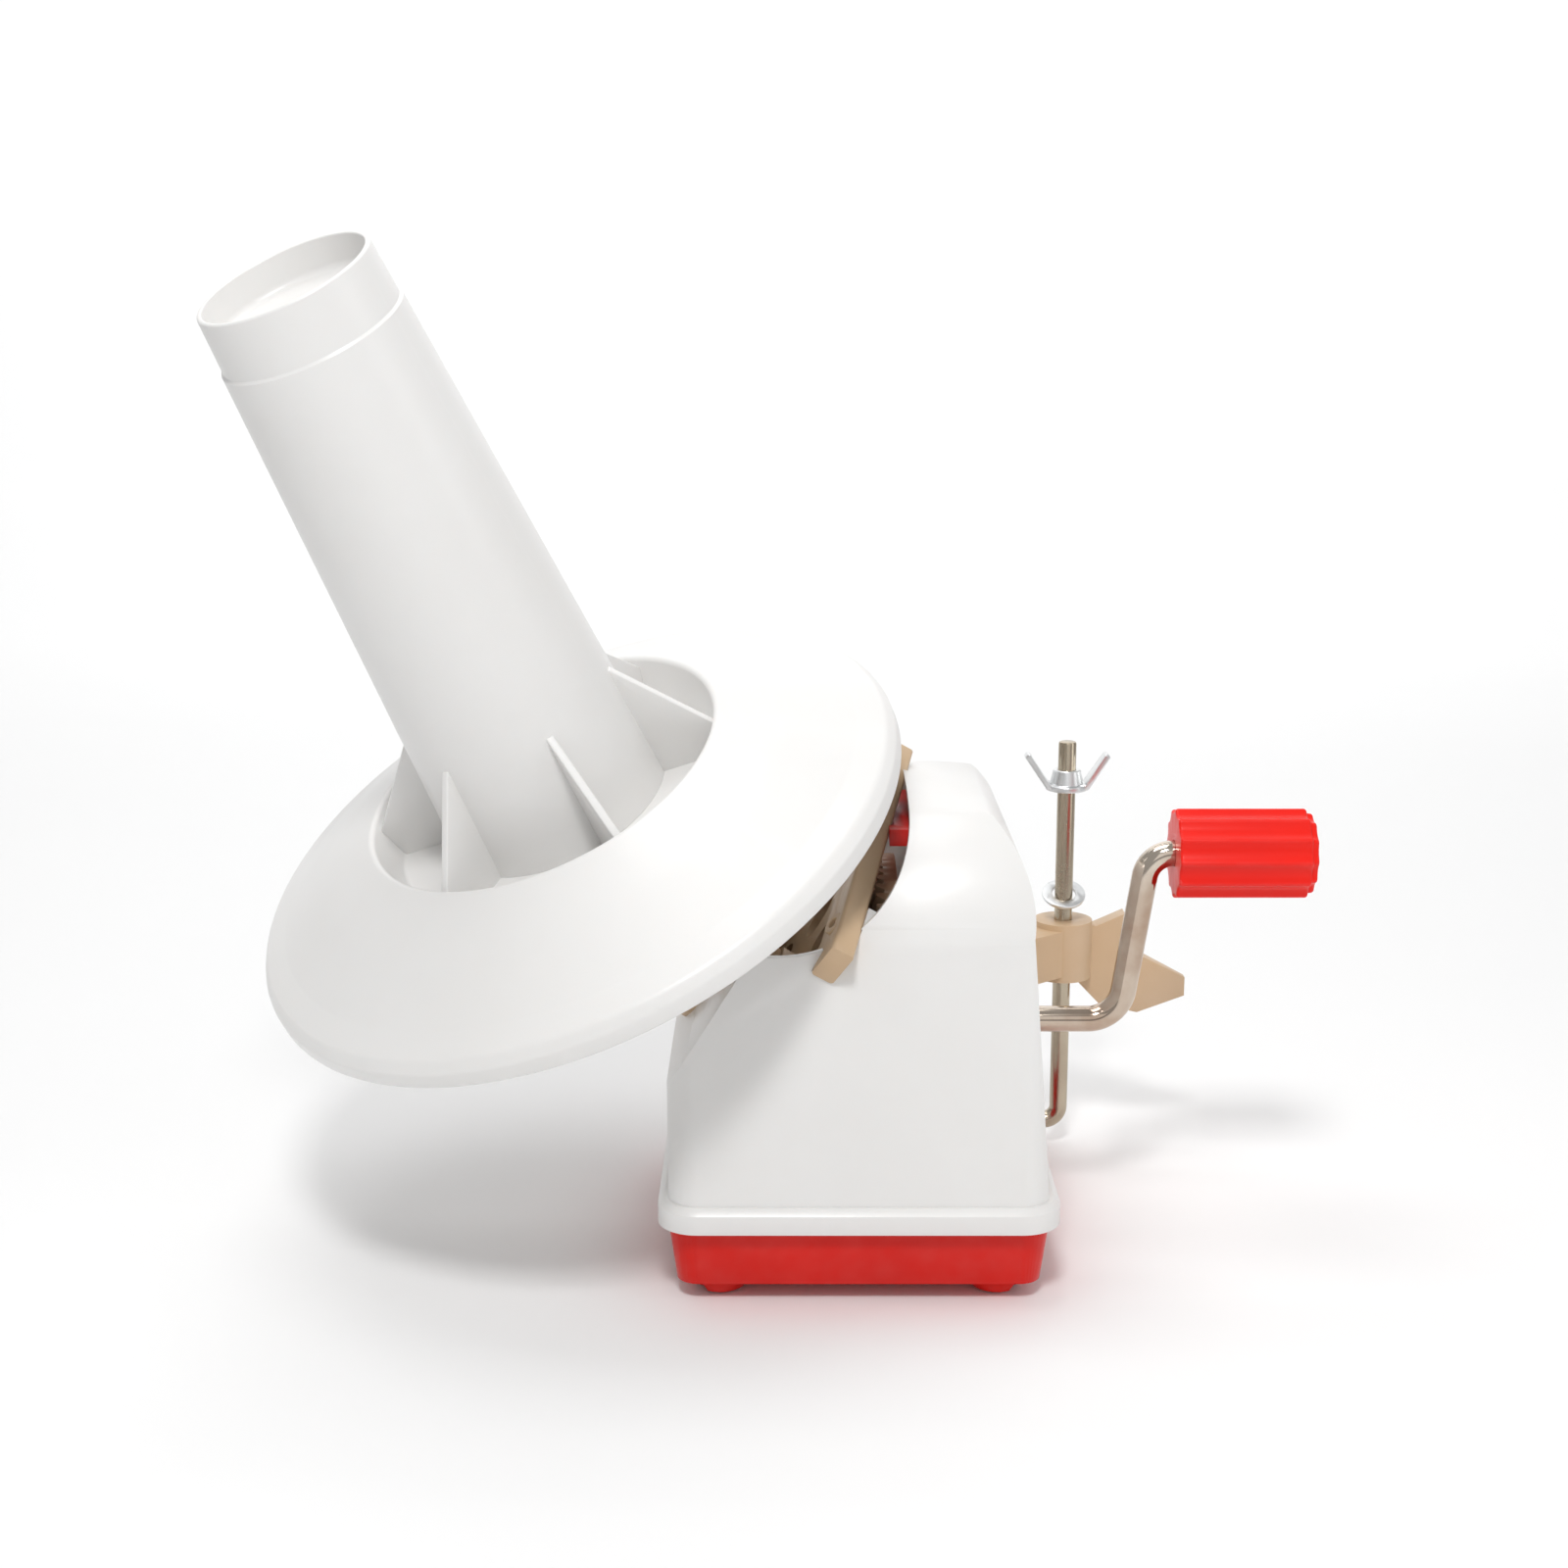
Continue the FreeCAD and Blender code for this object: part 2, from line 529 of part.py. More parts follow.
def bevel_gear(teeth, radius, cone_deg, face_width, tooth_at_mesh, body_profile):
    """Bevel gear about +Z with its cone's apex at the origin and its mesh line over +X.

    The body profile adds (radius, height) points that close the outline behind the root cone.
    """
    cone = math.radians(cone_deg)
    along = Vector(math.sin(cone), 0, math.cos(cone))
    outward = Vector(math.cos(cone), 0, -math.sin(cone))
    module = 2 * radius / teeth
    cone_length = radius / math.sin(cone)
    inner_share = (cone_length - face_width) / cone_length
    root_half = module * (math.pi / 2 * TOOTH_SHARE + DEDENDUM * math.tan(math.radians(FLANK_ANGLE)))
    tip_half = module * (math.pi / 2 * TOOTH_SHARE - ADDENDUM * math.tan(math.radians(FLANK_ANGLE)))
    root_half = min(root_half, module * math.pi * 0.48)

    def section(share):
        """Closed tooth outline at a share of the cone length."""
        centre = along * cone_length
        low = centre - outward * ((DEDENDUM + ROOT_OVERLAP) * module)
        high = centre + outward * (ADDENDUM * module)
        corners = [low + Vector(0, -root_half, 0), low + Vector(0, root_half, 0),
                   high + Vector(0, tip_half, 0), high + Vector(0, -tip_half, 0)]
        corners = [corner * share for corner in corners]
        return Part.makePolygon(corners + corners[:1])

    tooth = Part.makeLoft([section(inner_share), section(1.0)], True, True)
    root_out = (along * cone_length) - outward * (DEDENDUM * module)
    root_in = root_out * inner_share
    body = turned([(root_in.x, root_in.z), (root_out.x, root_out.z)] + body_profile(root_in, root_out))
    step = 360.0 / teeth
    shift = 0.0 if tooth_at_mesh else step / 2
    ring = []
    for index in range(teeth):
        copy = tooth.copy()
        copy.rotate(Vector(0, 0, 0), Vector(0, 0, 1), shift + step * index)
        ring.append(copy)
    return body.fuse(ring)


def mesh_side(axis, mesh_line):
    """Unit vector square to the axis that points at the mesh line."""
    return (mesh_line - axis * mesh_line.dot(axis)).normalize()


def rotor_gear():
    """Large bevel gear on the rotor shaft, its teeth facing back towards the crank gear."""
    front = CRANK_APEX_DEPTH - ROTOR_GEAR_FRONT
    bore = ROTOR_SHAFT_RADIUS + FIT_GAP

    def body_profile(root_in, root_out):
        """Rim, web and hub behind the teeth."""
        rim_back = root_out.z + GEAR_RIM
        web_back = root_in.z + GEAR_RIM
        step = root_in.z - GEAR_HUB_STEP
        return [(root_out.x, rim_back), (root_in.x, rim_back), (root_in.x, web_back),
                (GEAR_HUB_RADIUS, web_back), (GEAR_HUB_RADIUS, front), (bore, front), (bore, step),
                (GEAR_HUB_RADIUS, step), (GEAR_HUB_RADIUS, root_in.z)]

    gear = bevel_gear(CRANK_GEAR_TEETH, CRANK_GEAR_RADIUS, CRANK_CONE, CRANK_FACE_WIDTH, True, body_profile)
    gear = gear.cut(web_holes(front)).cut(grub_hole(front - GRUB_INSET, GEAR_HUB_RADIUS))
    return placed(gear, CRANK_APEX, ROTOR_AXIS, mesh_side(ROTOR_AXIS, MESH_UP))


def crank_gear():
    """Bevel gear on the crank, its teeth facing forward into the rotor gear."""
    bore = CRANK_ROD_RADIUS + FIT_GAP
    hub_back = BUSHING_INNER_START - CRANK_APEX.x - FACE_GAP

    def body_profile(root_in, root_out):
        """Rim, web and hub behind the teeth."""
        rim_back = root_out.z + GEAR_RIM
        web_back = root_in.z + GEAR_RIM
        step = root_in.z - GEAR_HUB_STEP
        return [(root_out.x, rim_back), (root_in.x, rim_back), (root_in.x, web_back),
                (GEAR_HUB_RADIUS, web_back), (GEAR_HUB_RADIUS, hub_back), (bore, hub_back), (bore, step),
                (GEAR_HUB_RADIUS, step), (GEAR_HUB_RADIUS, root_in.z)]

    gear = bevel_gear(CRANK_GEAR_TEETH, CRANK_GEAR_RADIUS, CRANK_CONE, CRANK_FACE_WIDTH, False, body_profile)
    gear = gear.cut(web_holes(hub_back)).cut(grub_hole(hub_back - GRUB_INSET, GEAR_HUB_RADIUS))
    return placed(gear, CRANK_APEX, CRANK_AXIS, mesh_side(CRANK_AXIS, MESH_UP))


def web_holes(reach):
    """Round lightening holes through a gear's web."""
    holes = []
    for index in range(WEB_HOLE_COUNT):
        angle = 2 * math.pi * (index + 0.5) / WEB_HOLE_COUNT
        centre = Vector(math.cos(angle), math.sin(angle), 0) * WEB_HOLE_CIRCLE
        holes.append(Part.makeCylinder(WEB_HOLE_RADIUS, reach + GEAR_HUB_RADIUS, centre))
    return holes


def grub_hole(height, hub_radius):
    """Radial hole for the grub screw of a gear's hub, along local -X."""
    return Part.makeCylinder(GRUB_RADIUS + FIT_GAP, hub_radius + 1, Vector(0, 0, height), Vector(-1, 0, 0))


def grub_screw(apex, axis, mesh_line, height, shaft_radius):
    """Headless screw that holds a gear's hub on its shaft."""
    outward = mesh_side(axis, mesh_line) * -1
    centre = apex + axis * height
    start = centre + outward * (shaft_radius + FIT_GAP)
    return rod(start, centre + outward * (GEAR_HUB_RADIUS - 0.5), GRUB_RADIUS)


def sun_gear():
    """Fixed bevel gear round the rotor shaft, with its tube and the flange screwed to the front face."""

    def body_profile(root_in, root_out):
        """Back face, tube and flange, the recess for the elbow and the bore."""
        back = root_out.z + GEAR_RIM
        flange_back = FRONT_FACE_DEPTH
        flange_front = flange_back - SUN_FLANGE_THICKNESS
        clear = ROTOR_SHAFT_RADIUS + FACE_GAP
        return [(root_out.x, back), (SUN_TUBE_RADIUS, back), (SUN_TUBE_RADIUS, flange_front),
                (SUN_FLANGE_RADIUS, flange_front), (SUN_FLANGE_RADIUS, flange_back), (clear, flange_back),
                (clear, ELBOW_RADIUS + 1.5), (ELBOW_RADIUS + 2.5, ELBOW_RADIUS + 1.5),
                (ELBOW_RADIUS + 2.5, root_in.z)]

    cone_radius = SUN_CONE_LENGTH * math.sin(math.radians(SUN_CONE))
    gear = bevel_gear(SUN_TEETH, cone_radius, SUN_CONE, SUN_FACE_WIDTH, True, body_profile)
    axis = ROTOR_AXIS * -1
    gear = placed(gear, APEX, axis, mesh_side(axis, MESH_SUN))
    holes = [rod(rotor_point(FRONT_FACE_DEPTH - SUN_FLANGE_THICKNESS - 4, up, across),
                 rotor_point(FRONT_FACE_DEPTH + 1, up, across), SCREW_RADIUS + FIT_GAP)
             for up, across in bearing_screw_places()]
    return gear.cut(holes)


def bobbin_gear():
    """Bevel gear under the bobbin's well, rolling on the fixed gear."""
    bore = SPINDLE_RADIUS + RUN_GAP

    def body_profile(root_in, root_out):
        """Hub up to the underside of the well and the bore."""
        return [(root_out.x, root_out.z + 2.0), (SUN_TUBE_RADIUS + 4, WELL_FLOOR_BOTTOM),
                (bore, WELL_FLOOR_BOTTOM), (bore, BOBBIN_GEAR_FOOT), (SUN_TUBE_RADIUS, BOBBIN_GEAR_FOOT)]

    gear = bevel_gear(BOBBIN_TEETH, BOBBIN_GEAR_RADIUS, BOBBIN_CONE, SUN_FACE_WIDTH, False, body_profile)
    gear = placed(gear, APEX, BOBBIN_AXIS, mesh_side(BOBBIN_AXIS, MESH_SUN))
    low = BOBBIN_AXIS * (BOBBIN_GEAR_FOOT + 1)
    high = BOBBIN_AXIS * (WELL_FLOOR_BOTTOM + 1)
    holes = [rod(place + low, place + high, SCREW_RADIUS + FIT_GAP) for place in bobbin_screw_places()]
    return gear.cut(holes)


def bobbin_screw_places():
    """Three places round the bobbin axis, as points in the plane through the apex."""
    side = mesh_side(BOBBIN_AXIS, MESH_SUN)
    across = BOBBIN_AXIS.cross(side)
    return [APEX + unit(120 * index + 60, side, across) * BOBBIN_SCREW_CIRCLE for index in range(3)]


def rotor_shaft():
    """Straight shaft along the rotor axis."""
    return rod(rotor_point(ROTOR_SHAFT_END, 0), rotor_point(SOCKET_FLOOR, 0), ROTOR_SHAFT_RADIUS)


def shaft_ring():
    """Retaining ring at the back end of the rotor shaft."""
    hub_back = ROTOR_SHAFT_END - 2.6
    return tube(rotor_point(hub_back + 1.6, 0), rotor_point(hub_back, 0), ROTOR_SHAFT_RADIUS + 3,
                ROTOR_SHAFT_RADIUS + FIT_GAP)


def rotor_elbow():
    """Ball that joins the rotor shaft to the inclined spindle."""
    ball = Part.makeSphere(ELBOW_RADIUS, APEX)
    above = rod(bobbin_point(ELBOW_FLAT), bobbin_point(ELBOW_RADIUS + 1), ELBOW_RADIUS)
    mouth = ELBOW_RADIUS + 1
    shaft_socket = rod(rotor_point(SOCKET_FLOOR, 0), rotor_point(mouth, 0), ROTOR_SHAFT_RADIUS + FIT_GAP)
    spindle_socket = rod(bobbin_point(SOCKET_FLOOR), bobbin_point(mouth), SPINDLE_RADIUS + FIT_GAP)
    return ball.cut([above, shaft_socket, spindle_socket])


def bobbin_spindle():
    """Pin along the bobbin axis that the bobbin turns on."""
    return rod(bobbin_point(SOCKET_FLOOR), bobbin_point(BOBBIN_HUB_TOP + FACE_GAP + SPINDLE_NUT_HEIGHT + 2),
               SPINDLE_RADIUS)


def spindle_nut():
    """Hexagonal nut that keeps the bobbin on its spindle."""
    low = BOBBIN_HUB_TOP + FACE_GAP
    side = mesh_side(BOBBIN_AXIS, MESH_SUN)
    across = BOBBIN_AXIS.cross(side)
    corners = [bobbin_point(low) + unit(60 * index, side, across) * SPINDLE_NUT_RADIUS
               for index in range(6)]
    body = flat_prism(corners, BOBBIN_AXIS * SPINDLE_NUT_HEIGHT)
    high = low + SPINDLE_NUT_HEIGHT
    return body.cut(rod(bobbin_point(low - 1), bobbin_point(high + 1), SPINDLE_RADIUS + FIT_GAP))


def thrust_washer():
    """Washer between the elbow and the bobbin's gear."""
    return tube(bobbin_point(ELBOW_FLAT), bobbin_point(ELBOW_FLAT + THRUST_WASHER_THICKNESS),
                ELBOW_RADIUS - 2.5, SPINDLE_RADIUS + FIT_GAP)


def rotor_bearing():
    """Flanged bearing block on the inside of the slanted front face."""
    flange_end = FACE_INNER_DEPTH + BEARING_FLANGE_THICKNESS
    face = rotor_point(FACE_INNER_DEPTH, 0)
    block = joined([rod(rotor_point(flange_end, 0), face, SUN_FLANGE_RADIUS),
                    rod(rotor_point(BEARING_END, 0), face, BEARING_BOSS_RADIUS)])
    cuts = [rod(rotor_point(BEARING_END + 1, 0), face + ROTOR_AXIS, BUSHING_RADIUS + FIT_GAP)]
    cuts += [rod(rotor_point(flange_end + 1, up, across), rotor_point(FACE_INNER_DEPTH - 1, up, across),
                 SCREW_RADIUS + FIT_GAP) for up, across in bearing_screw_places()]
    return block.cut(cuts)


def rotor_bushing():
    """Plain bushing of the rotor shaft."""
    return tube(rotor_point(BEARING_END, 0), rotor_point(FRONT_FACE_DEPTH, 0), BUSHING_RADIUS - FIT_GAP,
                ROTOR_SHAFT_RADIUS + RUN_GAP)


def crank_bushing(x_start, x_end):
    """Plain bushing of the crank."""
    start = Vector(x_start, 0, CRANK_Z)
    return tube(start, Vector(x_end, 0, CRANK_Z), CRANK_BUSHING_RADIUS, CRANK_ROD_RADIUS + RUN_GAP)


def bobbin_flange():
    """Wide flange with its turned-down rim, skirt, well and hub, turned about the bobbin axis."""
    top = FLANGE_HEIGHT + FLANGE_CROWN
    edge = FLANGE_RADIUS
    under = top - FLANGE_THICKNESS
    bore = SPINDLE_RADIUS + RUN_GAP
    well_wall = WELL_RADIUS - FLANGE_THICKNESS
    profile = [(bore, WELL_FLOOR_BOTTOM), (WELL_RADIUS, WELL_FLOOR_BOTTOM), (WELL_RADIUS + 3, under - 0.6),
               (SKIRT_RADIUS - 1.8, under - 2.0), (SKIRT_RADIUS - 1.8, FLANGE_HEIGHT - SKIRT_DROP),
               (SKIRT_RADIUS, FLANGE_HEIGHT - SKIRT_DROP), (SKIRT_RADIUS, under - 2.1),
               (edge - 3.6, under - 3.6), (edge - 2.2, FLANGE_HEIGHT - RIM_DROP),
               (edge, FLANGE_HEIGHT - RIM_DROP), (edge, FLANGE_HEIGHT - 1.5),
               (edge - 1.2, FLANGE_HEIGHT + 1.2), (edge - 4.0, FLANGE_HEIGHT + 2.8),
               (edge - 10.0, top - 1.2), (WELL_RADIUS + 14, top), (WELL_RADIUS + 2, top),
               (WELL_RADIUS, top - 1.0), (well_wall, WELL_FLOOR_TOP), (BOBBIN_HUB_RADIUS, WELL_FLOOR_TOP),
               (BOBBIN_HUB_RADIUS, BOBBIN_HUB_TOP), (bore, BOBBIN_HUB_TOP)]
    flange = turned(profile, APEX, BOBBIN_AXIS)
    holes = [rod(place + BOBBIN_AXIS * (WELL_FLOOR_BOTTOM - 1), place + BOBBIN_AXIS * (WELL_FLOOR_TOP + 3),
                 SCREW_RADIUS + FIT_GAP) for place in bobbin_screw_places()]
    return flange.cut(holes)


def tower_radius(height):
    """Outer radius of the tower at a height, below its collar."""
    share = (height - WELL_FLOOR_TOP) / (TOWER_TOP_HEIGHT - WELL_FLOOR_TOP)
    return TOWER_BOTTOM_RADIUS + (TOWER_TOP_RADIUS - TOWER_BOTTOM_RADIUS) * share


def bobbin_tower():
    """Tapered hollow tower with a stepped collar, a recessed top and ribs down to the well's wall."""
    step_height = TOWER_TOP_HEIGHT - COLLAR_LENGTH
    cup = TOWER_TOP_HEIGHT - CUP_DEPTH
    profile = [(TOWER_BOTTOM_RADIUS, WELL_FLOOR_TOP),
               (tower_radius(step_height), step_height),
               (tower_radius(step_height) - COLLAR_STEP, step_height + COLLAR_STEP),
               (TOWER_TOP_RADIUS - COLLAR_STEP, TOWER_TOP_HEIGHT - 0.6),
               (TOWER_TOP_RADIUS - COLLAR_STEP - 0.6, TOWER_TOP_HEIGHT),
               (TOWER_TOP_RADIUS - TOWER_WALL, TOWER_TOP_HEIGHT),
               (tower_radius(cup) - COLLAR_STEP - TOWER_WALL, cup), (0, cup),
               (0, cup - TOWER_WALL), (tower_radius(cup) - COLLAR_STEP - TOWER_WALL, cup - TOWER_WALL),
               (tower_radius(step_height) - TOWER_WALL, step_height - 2),
               (TOWER_BOTTOM_RADIUS - TOWER_WALL, WELL_FLOOR_TOP)]
    tower = turned(profile)
    ribs = []
    rib_foot = WELL_RADIUS - FLANGE_THICKNESS - FACE_GAP
    rib_top = WELL_FLOOR_TOP + RIB_HEIGHT
    wall_radius = tower_radius(rib_top)
    corners = [Vector(TOWER_BOTTOM_RADIUS - 1.5, 0, WELL_FLOOR_TOP), Vector(rib_foot, 0, WELL_FLOOR_TOP),
               Vector(rib_foot, 0, WELL_FLOOR_TOP + WELL_DEPTH - 1), Vector(wall_radius + 0.6, 0, rib_top),
               Vector(wall_radius - 0.8, 0, rib_top)]
    for index in range(RIB_COUNT):
        rib = flat_prism(corners, Vector(0, RIB_THICKNESS, 0))
        rib.translate(Vector(0, -RIB_THICKNESS / 2, 0))
        rib.rotate(Vector(0, 0, 0), Vector(0, 0, 1), 360.0 * (index + RIB_TURN) / RIB_COUNT)
        ribs.append(rib)
    tower = tower.fuse(ribs)
    side = (Vector(0, -1, 0) - BOBBIN_AXIS * BOBBIN_AXIS.dot(Vector(0, -1, 0))).normalize()
    return placed(tower, APEX, BOBBIN_AXIS, side)


def bobbin_screws():
    """Screws from inside the tower through the well's floor into the bobbin's gear."""
    depth = WELL_FLOOR_TOP - BOBBIN_GEAR_FOOT - 1.5
    seat = BOBBIN_AXIS * WELL_FLOOR_TOP
    return [screw(place + seat, BOBBIN_AXIS * -1, depth) for place in bobbin_screw_places()]


def crank_rod():
    """Bent round rod: shaft, leaning arm and handle pin."""
    lean = math.radians(CRANK_ARM_LEAN)
    rise = Vector(math.sin(lean), 0, math.cos(lean))
    start = Vector(CRANK_INNER_X, 0, CRANK_Z)
    low = Vector(CRANK_BEND_X, 0, CRANK_Z)
    high = low + rise * (CRANK_THROW / rise.z)
    end = Vector(GRIP_START_X + GRIP_LENGTH - GRIP_END_WALL - 1, 0, GRIP_Z)
    forward = Vector(1, 0, 0)
    bends = [CRANK_LOW_BEND, CRANK_HIGH_BEND]
    return bent_rod([start, low, high, end], [forward, rise, forward], bends, CRANK_ROD_RADIUS)


def bent_rod(points, directions, bend_radii, radius):
    """Round rod along straight runs joined by arcs."""
    edges = []
    at = points[0]
    for index in range(1, len(points) - 1):
        before = directions[index - 1]
        after = directions[index]
        bend_radius = bend_radii[index - 1]
        setback = bend_radius * math.tan(before.getAngle(after) / 2)
        corner = points[index]
        arc_start = corner - before * setback
        arc_end = corner + after * setback
        inward = (after - before).normalize()
        centre = corner + inward * (bend_radius / math.cos(before.getAngle(after) / 2))
        middle = centre - inward * bend_radius
        edges.append(Part.LineSegment(at, arc_start).toShape())
        edges.append(Part.Arc(arc_start, middle, arc_end).toShape())
        at = arc_end
    edges.append(Part.LineSegment(at, points[-1]).toShape())
    circle = Part.Wire(Part.makeCircle(radius, points[0], directions[0]))
    return Part.Wire(edges).makePipeShell([circle], True, False)


def crank_collar():
    """Collar that keeps the crank from sliding out, behind the back wall."""
    end = Vector(back_wall_x(CRANK_Z) - CRANK_BOSS_LENGTH - FACE_GAP, 0, CRANK_Z)
    start = end - CRANK_AXIS * CRANK_COLLAR_WIDTH
    return tube(start, end, CRANK_COLLAR_RADIUS, CRANK_ROD_RADIUS + FIT_GAP)


def handle_grip():
    """Fluted grip that turns on the handle pin."""
    axis = Vector(1, 0, 0)
    start = Vector(GRIP_START_X, 0, GRIP_Z)
    end = Vector(GRIP_START_X + GRIP_LENGTH, 0, GRIP_Z)
    body = rod(start, end, GRIP_RADIUS)
    rims = [edge for edge in body.Edges if len(edge.Vertexes) == 1]
    body = body.makeFillet(0.8, rims)
    flute_radius = GRIP_RADIUS * math.sin(math.pi / GRIP_FLUTES) * 0.78
    circle = GRIP_RADIUS + flute_radius - GRIP_FLUTE_DEPTH
    flutes = []
    for index in range(GRIP_FLUTES):
        angle = 2 * math.pi * index / GRIP_FLUTES
        offset = Vector(0, math.cos(angle) * circle, math.sin(angle) * circle)
        flutes.append(rod(start + offset - axis, end + offset + axis, flute_radius))
    bore_end = Vector(GRIP_START_X + GRIP_LENGTH - GRIP_END_WALL, 0, GRIP_Z)
    bore = rod(start - axis, bore_end, CRANK_ROD_RADIUS + RUN_GAP)
    return body.cut(flutes + [bore])


def bar_frame():
    """Directions of the bar: along it, across its wide face, and out of that face."""
    along = (Vector(*BAR_HIGH) - Vector(*BAR_LOW)).normalize()
    facing = Vector(-0.9, -0.45, 0.2)
    out = (facing - along * facing.dot(along)).normalize()
    return along, along.cross(out), out


def bar_block(margin):
    """Block of the bar, grown by a margin on every side."""
    along, across, _ = bar_frame()
    low = Vector(*BAR_LOW)
    length = (Vector(*BAR_HIGH) - low).Length + 2 * margin
    width = BAR_WIDTH + 2 * margin
    thickness = BAR_THICKNESS + 2 * margin
    block = Part.makeBox(width, thickness, length, Vector(-width / 2, -thickness / 2, -margin))
    if margin == 0:
        block = block.makeFillet(BAR_EDGE, [edge for edge in block.Edges if edge.Length > length - 1])
    return placed(block, low, along, across)


def bar_pin_rod(radius, start, end):
    """Cylinder along the bar's pin, between two distances from the bar's middle towards its wide face."""
    along, _, out = bar_frame()
    centre = Vector(*BAR_LOW) + along * BAR_PIN_REACH
    return rod(centre + out * start, centre + out * end, radius)


def gear_guard_bar():
    """Tan bar beside the gear opening, seated in a notch of the near wall and pinned to its seat."""
    return bar_block(0).cut(bar_pin_rod(BAR_PIN_RADIUS + FIT_GAP, -BAR_THICKNESS, BAR_THICKNESS))


def bar_seat():
    """Block on the inside of the near wall that the bar is pinned to."""
    along, across, out = bar_frame()
    origin = Vector(*BAR_LOW) - out * (BAR_THICKNESS / 2 - 1)
    block = Part.makeBox(BAR_WIDTH, BAR_SEAT_DEPTH + 1, BAR_SEAT_LENGTH, Vector(-BAR_WIDTH / 2, 0, 0))
    return placed(block, origin, along, across)


def bar_pin():
    """Pin through the bar's wide face into the seat on the housing."""
    face = BAR_THICKNESS / 2
    return bar_pin_rod(BAR_PIN_RADIUS, -face - BAR_PIN_DEPTH + 1, face - BAR_PIN_SINK)


def clamp_rod():
    """Upright clamp rod with a short hook at its foot."""
    radius = CLAMP_ROD_RADIUS
    top = Vector(CLAMP_X, CLAMP_Y, CLAMP_ROD_TOP)
    corner = Vector(CLAMP_X, CLAMP_Y, CLAMP_HOOK_Z)
    end = corner - Vector(CLAMP_HOOK_REACH, 0, 0)
    return bent_rod([top, corner, end], [Vector(0, 0, -1), Vector(-1, 0, 0)], [CLAMP_HOOK_BEND], radius)


def clamp_bracket():
    """Bracket on the back wall: plate, arm, boss for the rod, web and tapered tail."""
    plate_line = [back_wall_x(height) for height in (BRACKET_BOSS_LOW, BRACKET_BOSS_HIGH)]
    plate_corners = [Vector(plate_line[0], BRACKET_PLATE_INNER_Y, BRACKET_BOSS_LOW),
                     Vector(plate_line[1], BRACKET_PLATE_INNER_Y, BRACKET_BOSS_HIGH),
                     Vector(plate_line[1] + BRACKET_PLATE, BRACKET_PLATE_INNER_Y, BRACKET_BOSS_HIGH),
                     Vector(plate_line[0] + BRACKET_PLATE, BRACKET_PLATE_INNER_Y, BRACKET_BOSS_LOW)]
    plate = flat_prism(plate_corners, Vector(0, BRACKET_PLATE_OUTER_Y - BRACKET_PLATE_INNER_Y, 0))
    wall_face = plate_line[0] + BRACKET_PLATE / 2
    root_y = BRACKET_PLATE_OUTER_Y
    arm_low = BRACKET_BOSS_LOW + 2
    boss_axis = Vector(CLAMP_X, CLAMP_Y, 0)
    boss_side = boss_axis + Vector(-0.7, 0.6, 0) * BRACKET_BOSS_RADIUS
    boss_front = boss_axis - Vector(0, 0.9, 0) * BRACKET_BOSS_RADIUS
    arm_corners = [Vector(wall_face, root_y - 10, arm_low), Vector(wall_face, root_y, arm_low),
                   raised(boss_side, arm_low), raised(boss_front, arm_low)]
    arm = flat_prism(arm_corners, Vector(0, 0, BRACKET_BOSS_HIGH - BRACKET_BOSS_LOW - 4))
    boss = rod(raised(boss_axis, BRACKET_BOSS_LOW), raised(boss_axis, BRACKET_BOSS_HIGH), BRACKET_BOSS_RADIUS)
    frame = joined([plate, arm, boss, bracket_web()])
    cuts = [rod(raised(boss_axis, BRACKET_BOSS_LOW - 20), raised(boss_axis, BRACKET_BOSS_HIGH + 5),
                CLAMP_ROD_RADIUS + RUN_GAP)]
    cuts += [rod(start - Vector(3, 0, 0), start + Vector(BRACKET_PLATE + 3, 0, 0), SCREW_RADIUS + FIT_GAP)
             for start in bracket_screw_places()]
    return frame.cut(cuts)


def bracket_web():
    """Web from the boss outwards and its tapered tail, clear of the turning crank."""
    thickness = BRACKET_WEB_OUTER_Y - BRACKET_WEB_INNER_Y
    web_end = CLAMP_X + 21
    y_inner = BRACKET_WEB_INNER_Y
    low = BRACKET_BOSS_LOW
    high = BRACKET_BOSS_HIGH
    outline = [Vector(CLAMP_X + 3.5, y_inner, low), Vector(CLAMP_X + 3.5, y_inner, high),
               Vector(CLAMP_X + 11, y_inner, high - 2.5), Vector(web_end, y_inner, high + 2),
               Vector(web_end + 1, y_inner, high - 11), Vector(web_end + 8, y_inner, high - 14),
               Vector(BRACKET_TAIL_X, y_inner, low - 0.5), Vector(BRACKET_TAIL_X, y_inner, low - 7),
               Vector(web_end + 5, y_inner, low - 13), Vector(CLAMP_X + 13, y_inner, low - 10)]
    web = flat_prism(outline, Vector(0, thickness, 0))
    tail_x = BRACKET_TAIL_X + 1
    taper = [Vector(web_end + 4, y_inner + thickness, 0), Vector(tail_x, y_inner + thickness, 0),
             Vector(tail_x, y_inner + thickness * 0.45, 0)]
    return web.cut(flat_prism(taper, Vector(0, 0, high + 20)))


def bracket_screw_places():
    """Two points on the back wall under the bracket's plate."""
    middle_y = BRACKET_PLATE_INNER_Y + 8
    heights = (BRACKET_BOSS_LOW + 4, BRACKET_BOSS_HIGH - 4)
    return [Vector(back_wall_x(height), middle_y, height) for height in heights]


def clamp_washer():
    """Loose washer that hangs tilted on the clamp rod."""
    middle = Vector(CLAMP_X, CLAMP_Y, WASHER_Z)
    half = unit(WASHER_LEAN, Vector(0, 0, 1), Vector(0, -1, 0)) * (WASHER_THICKNESS / 2)
    return tube(middle - half, middle + half, WASHER_RADIUS, WASHER_BORE)


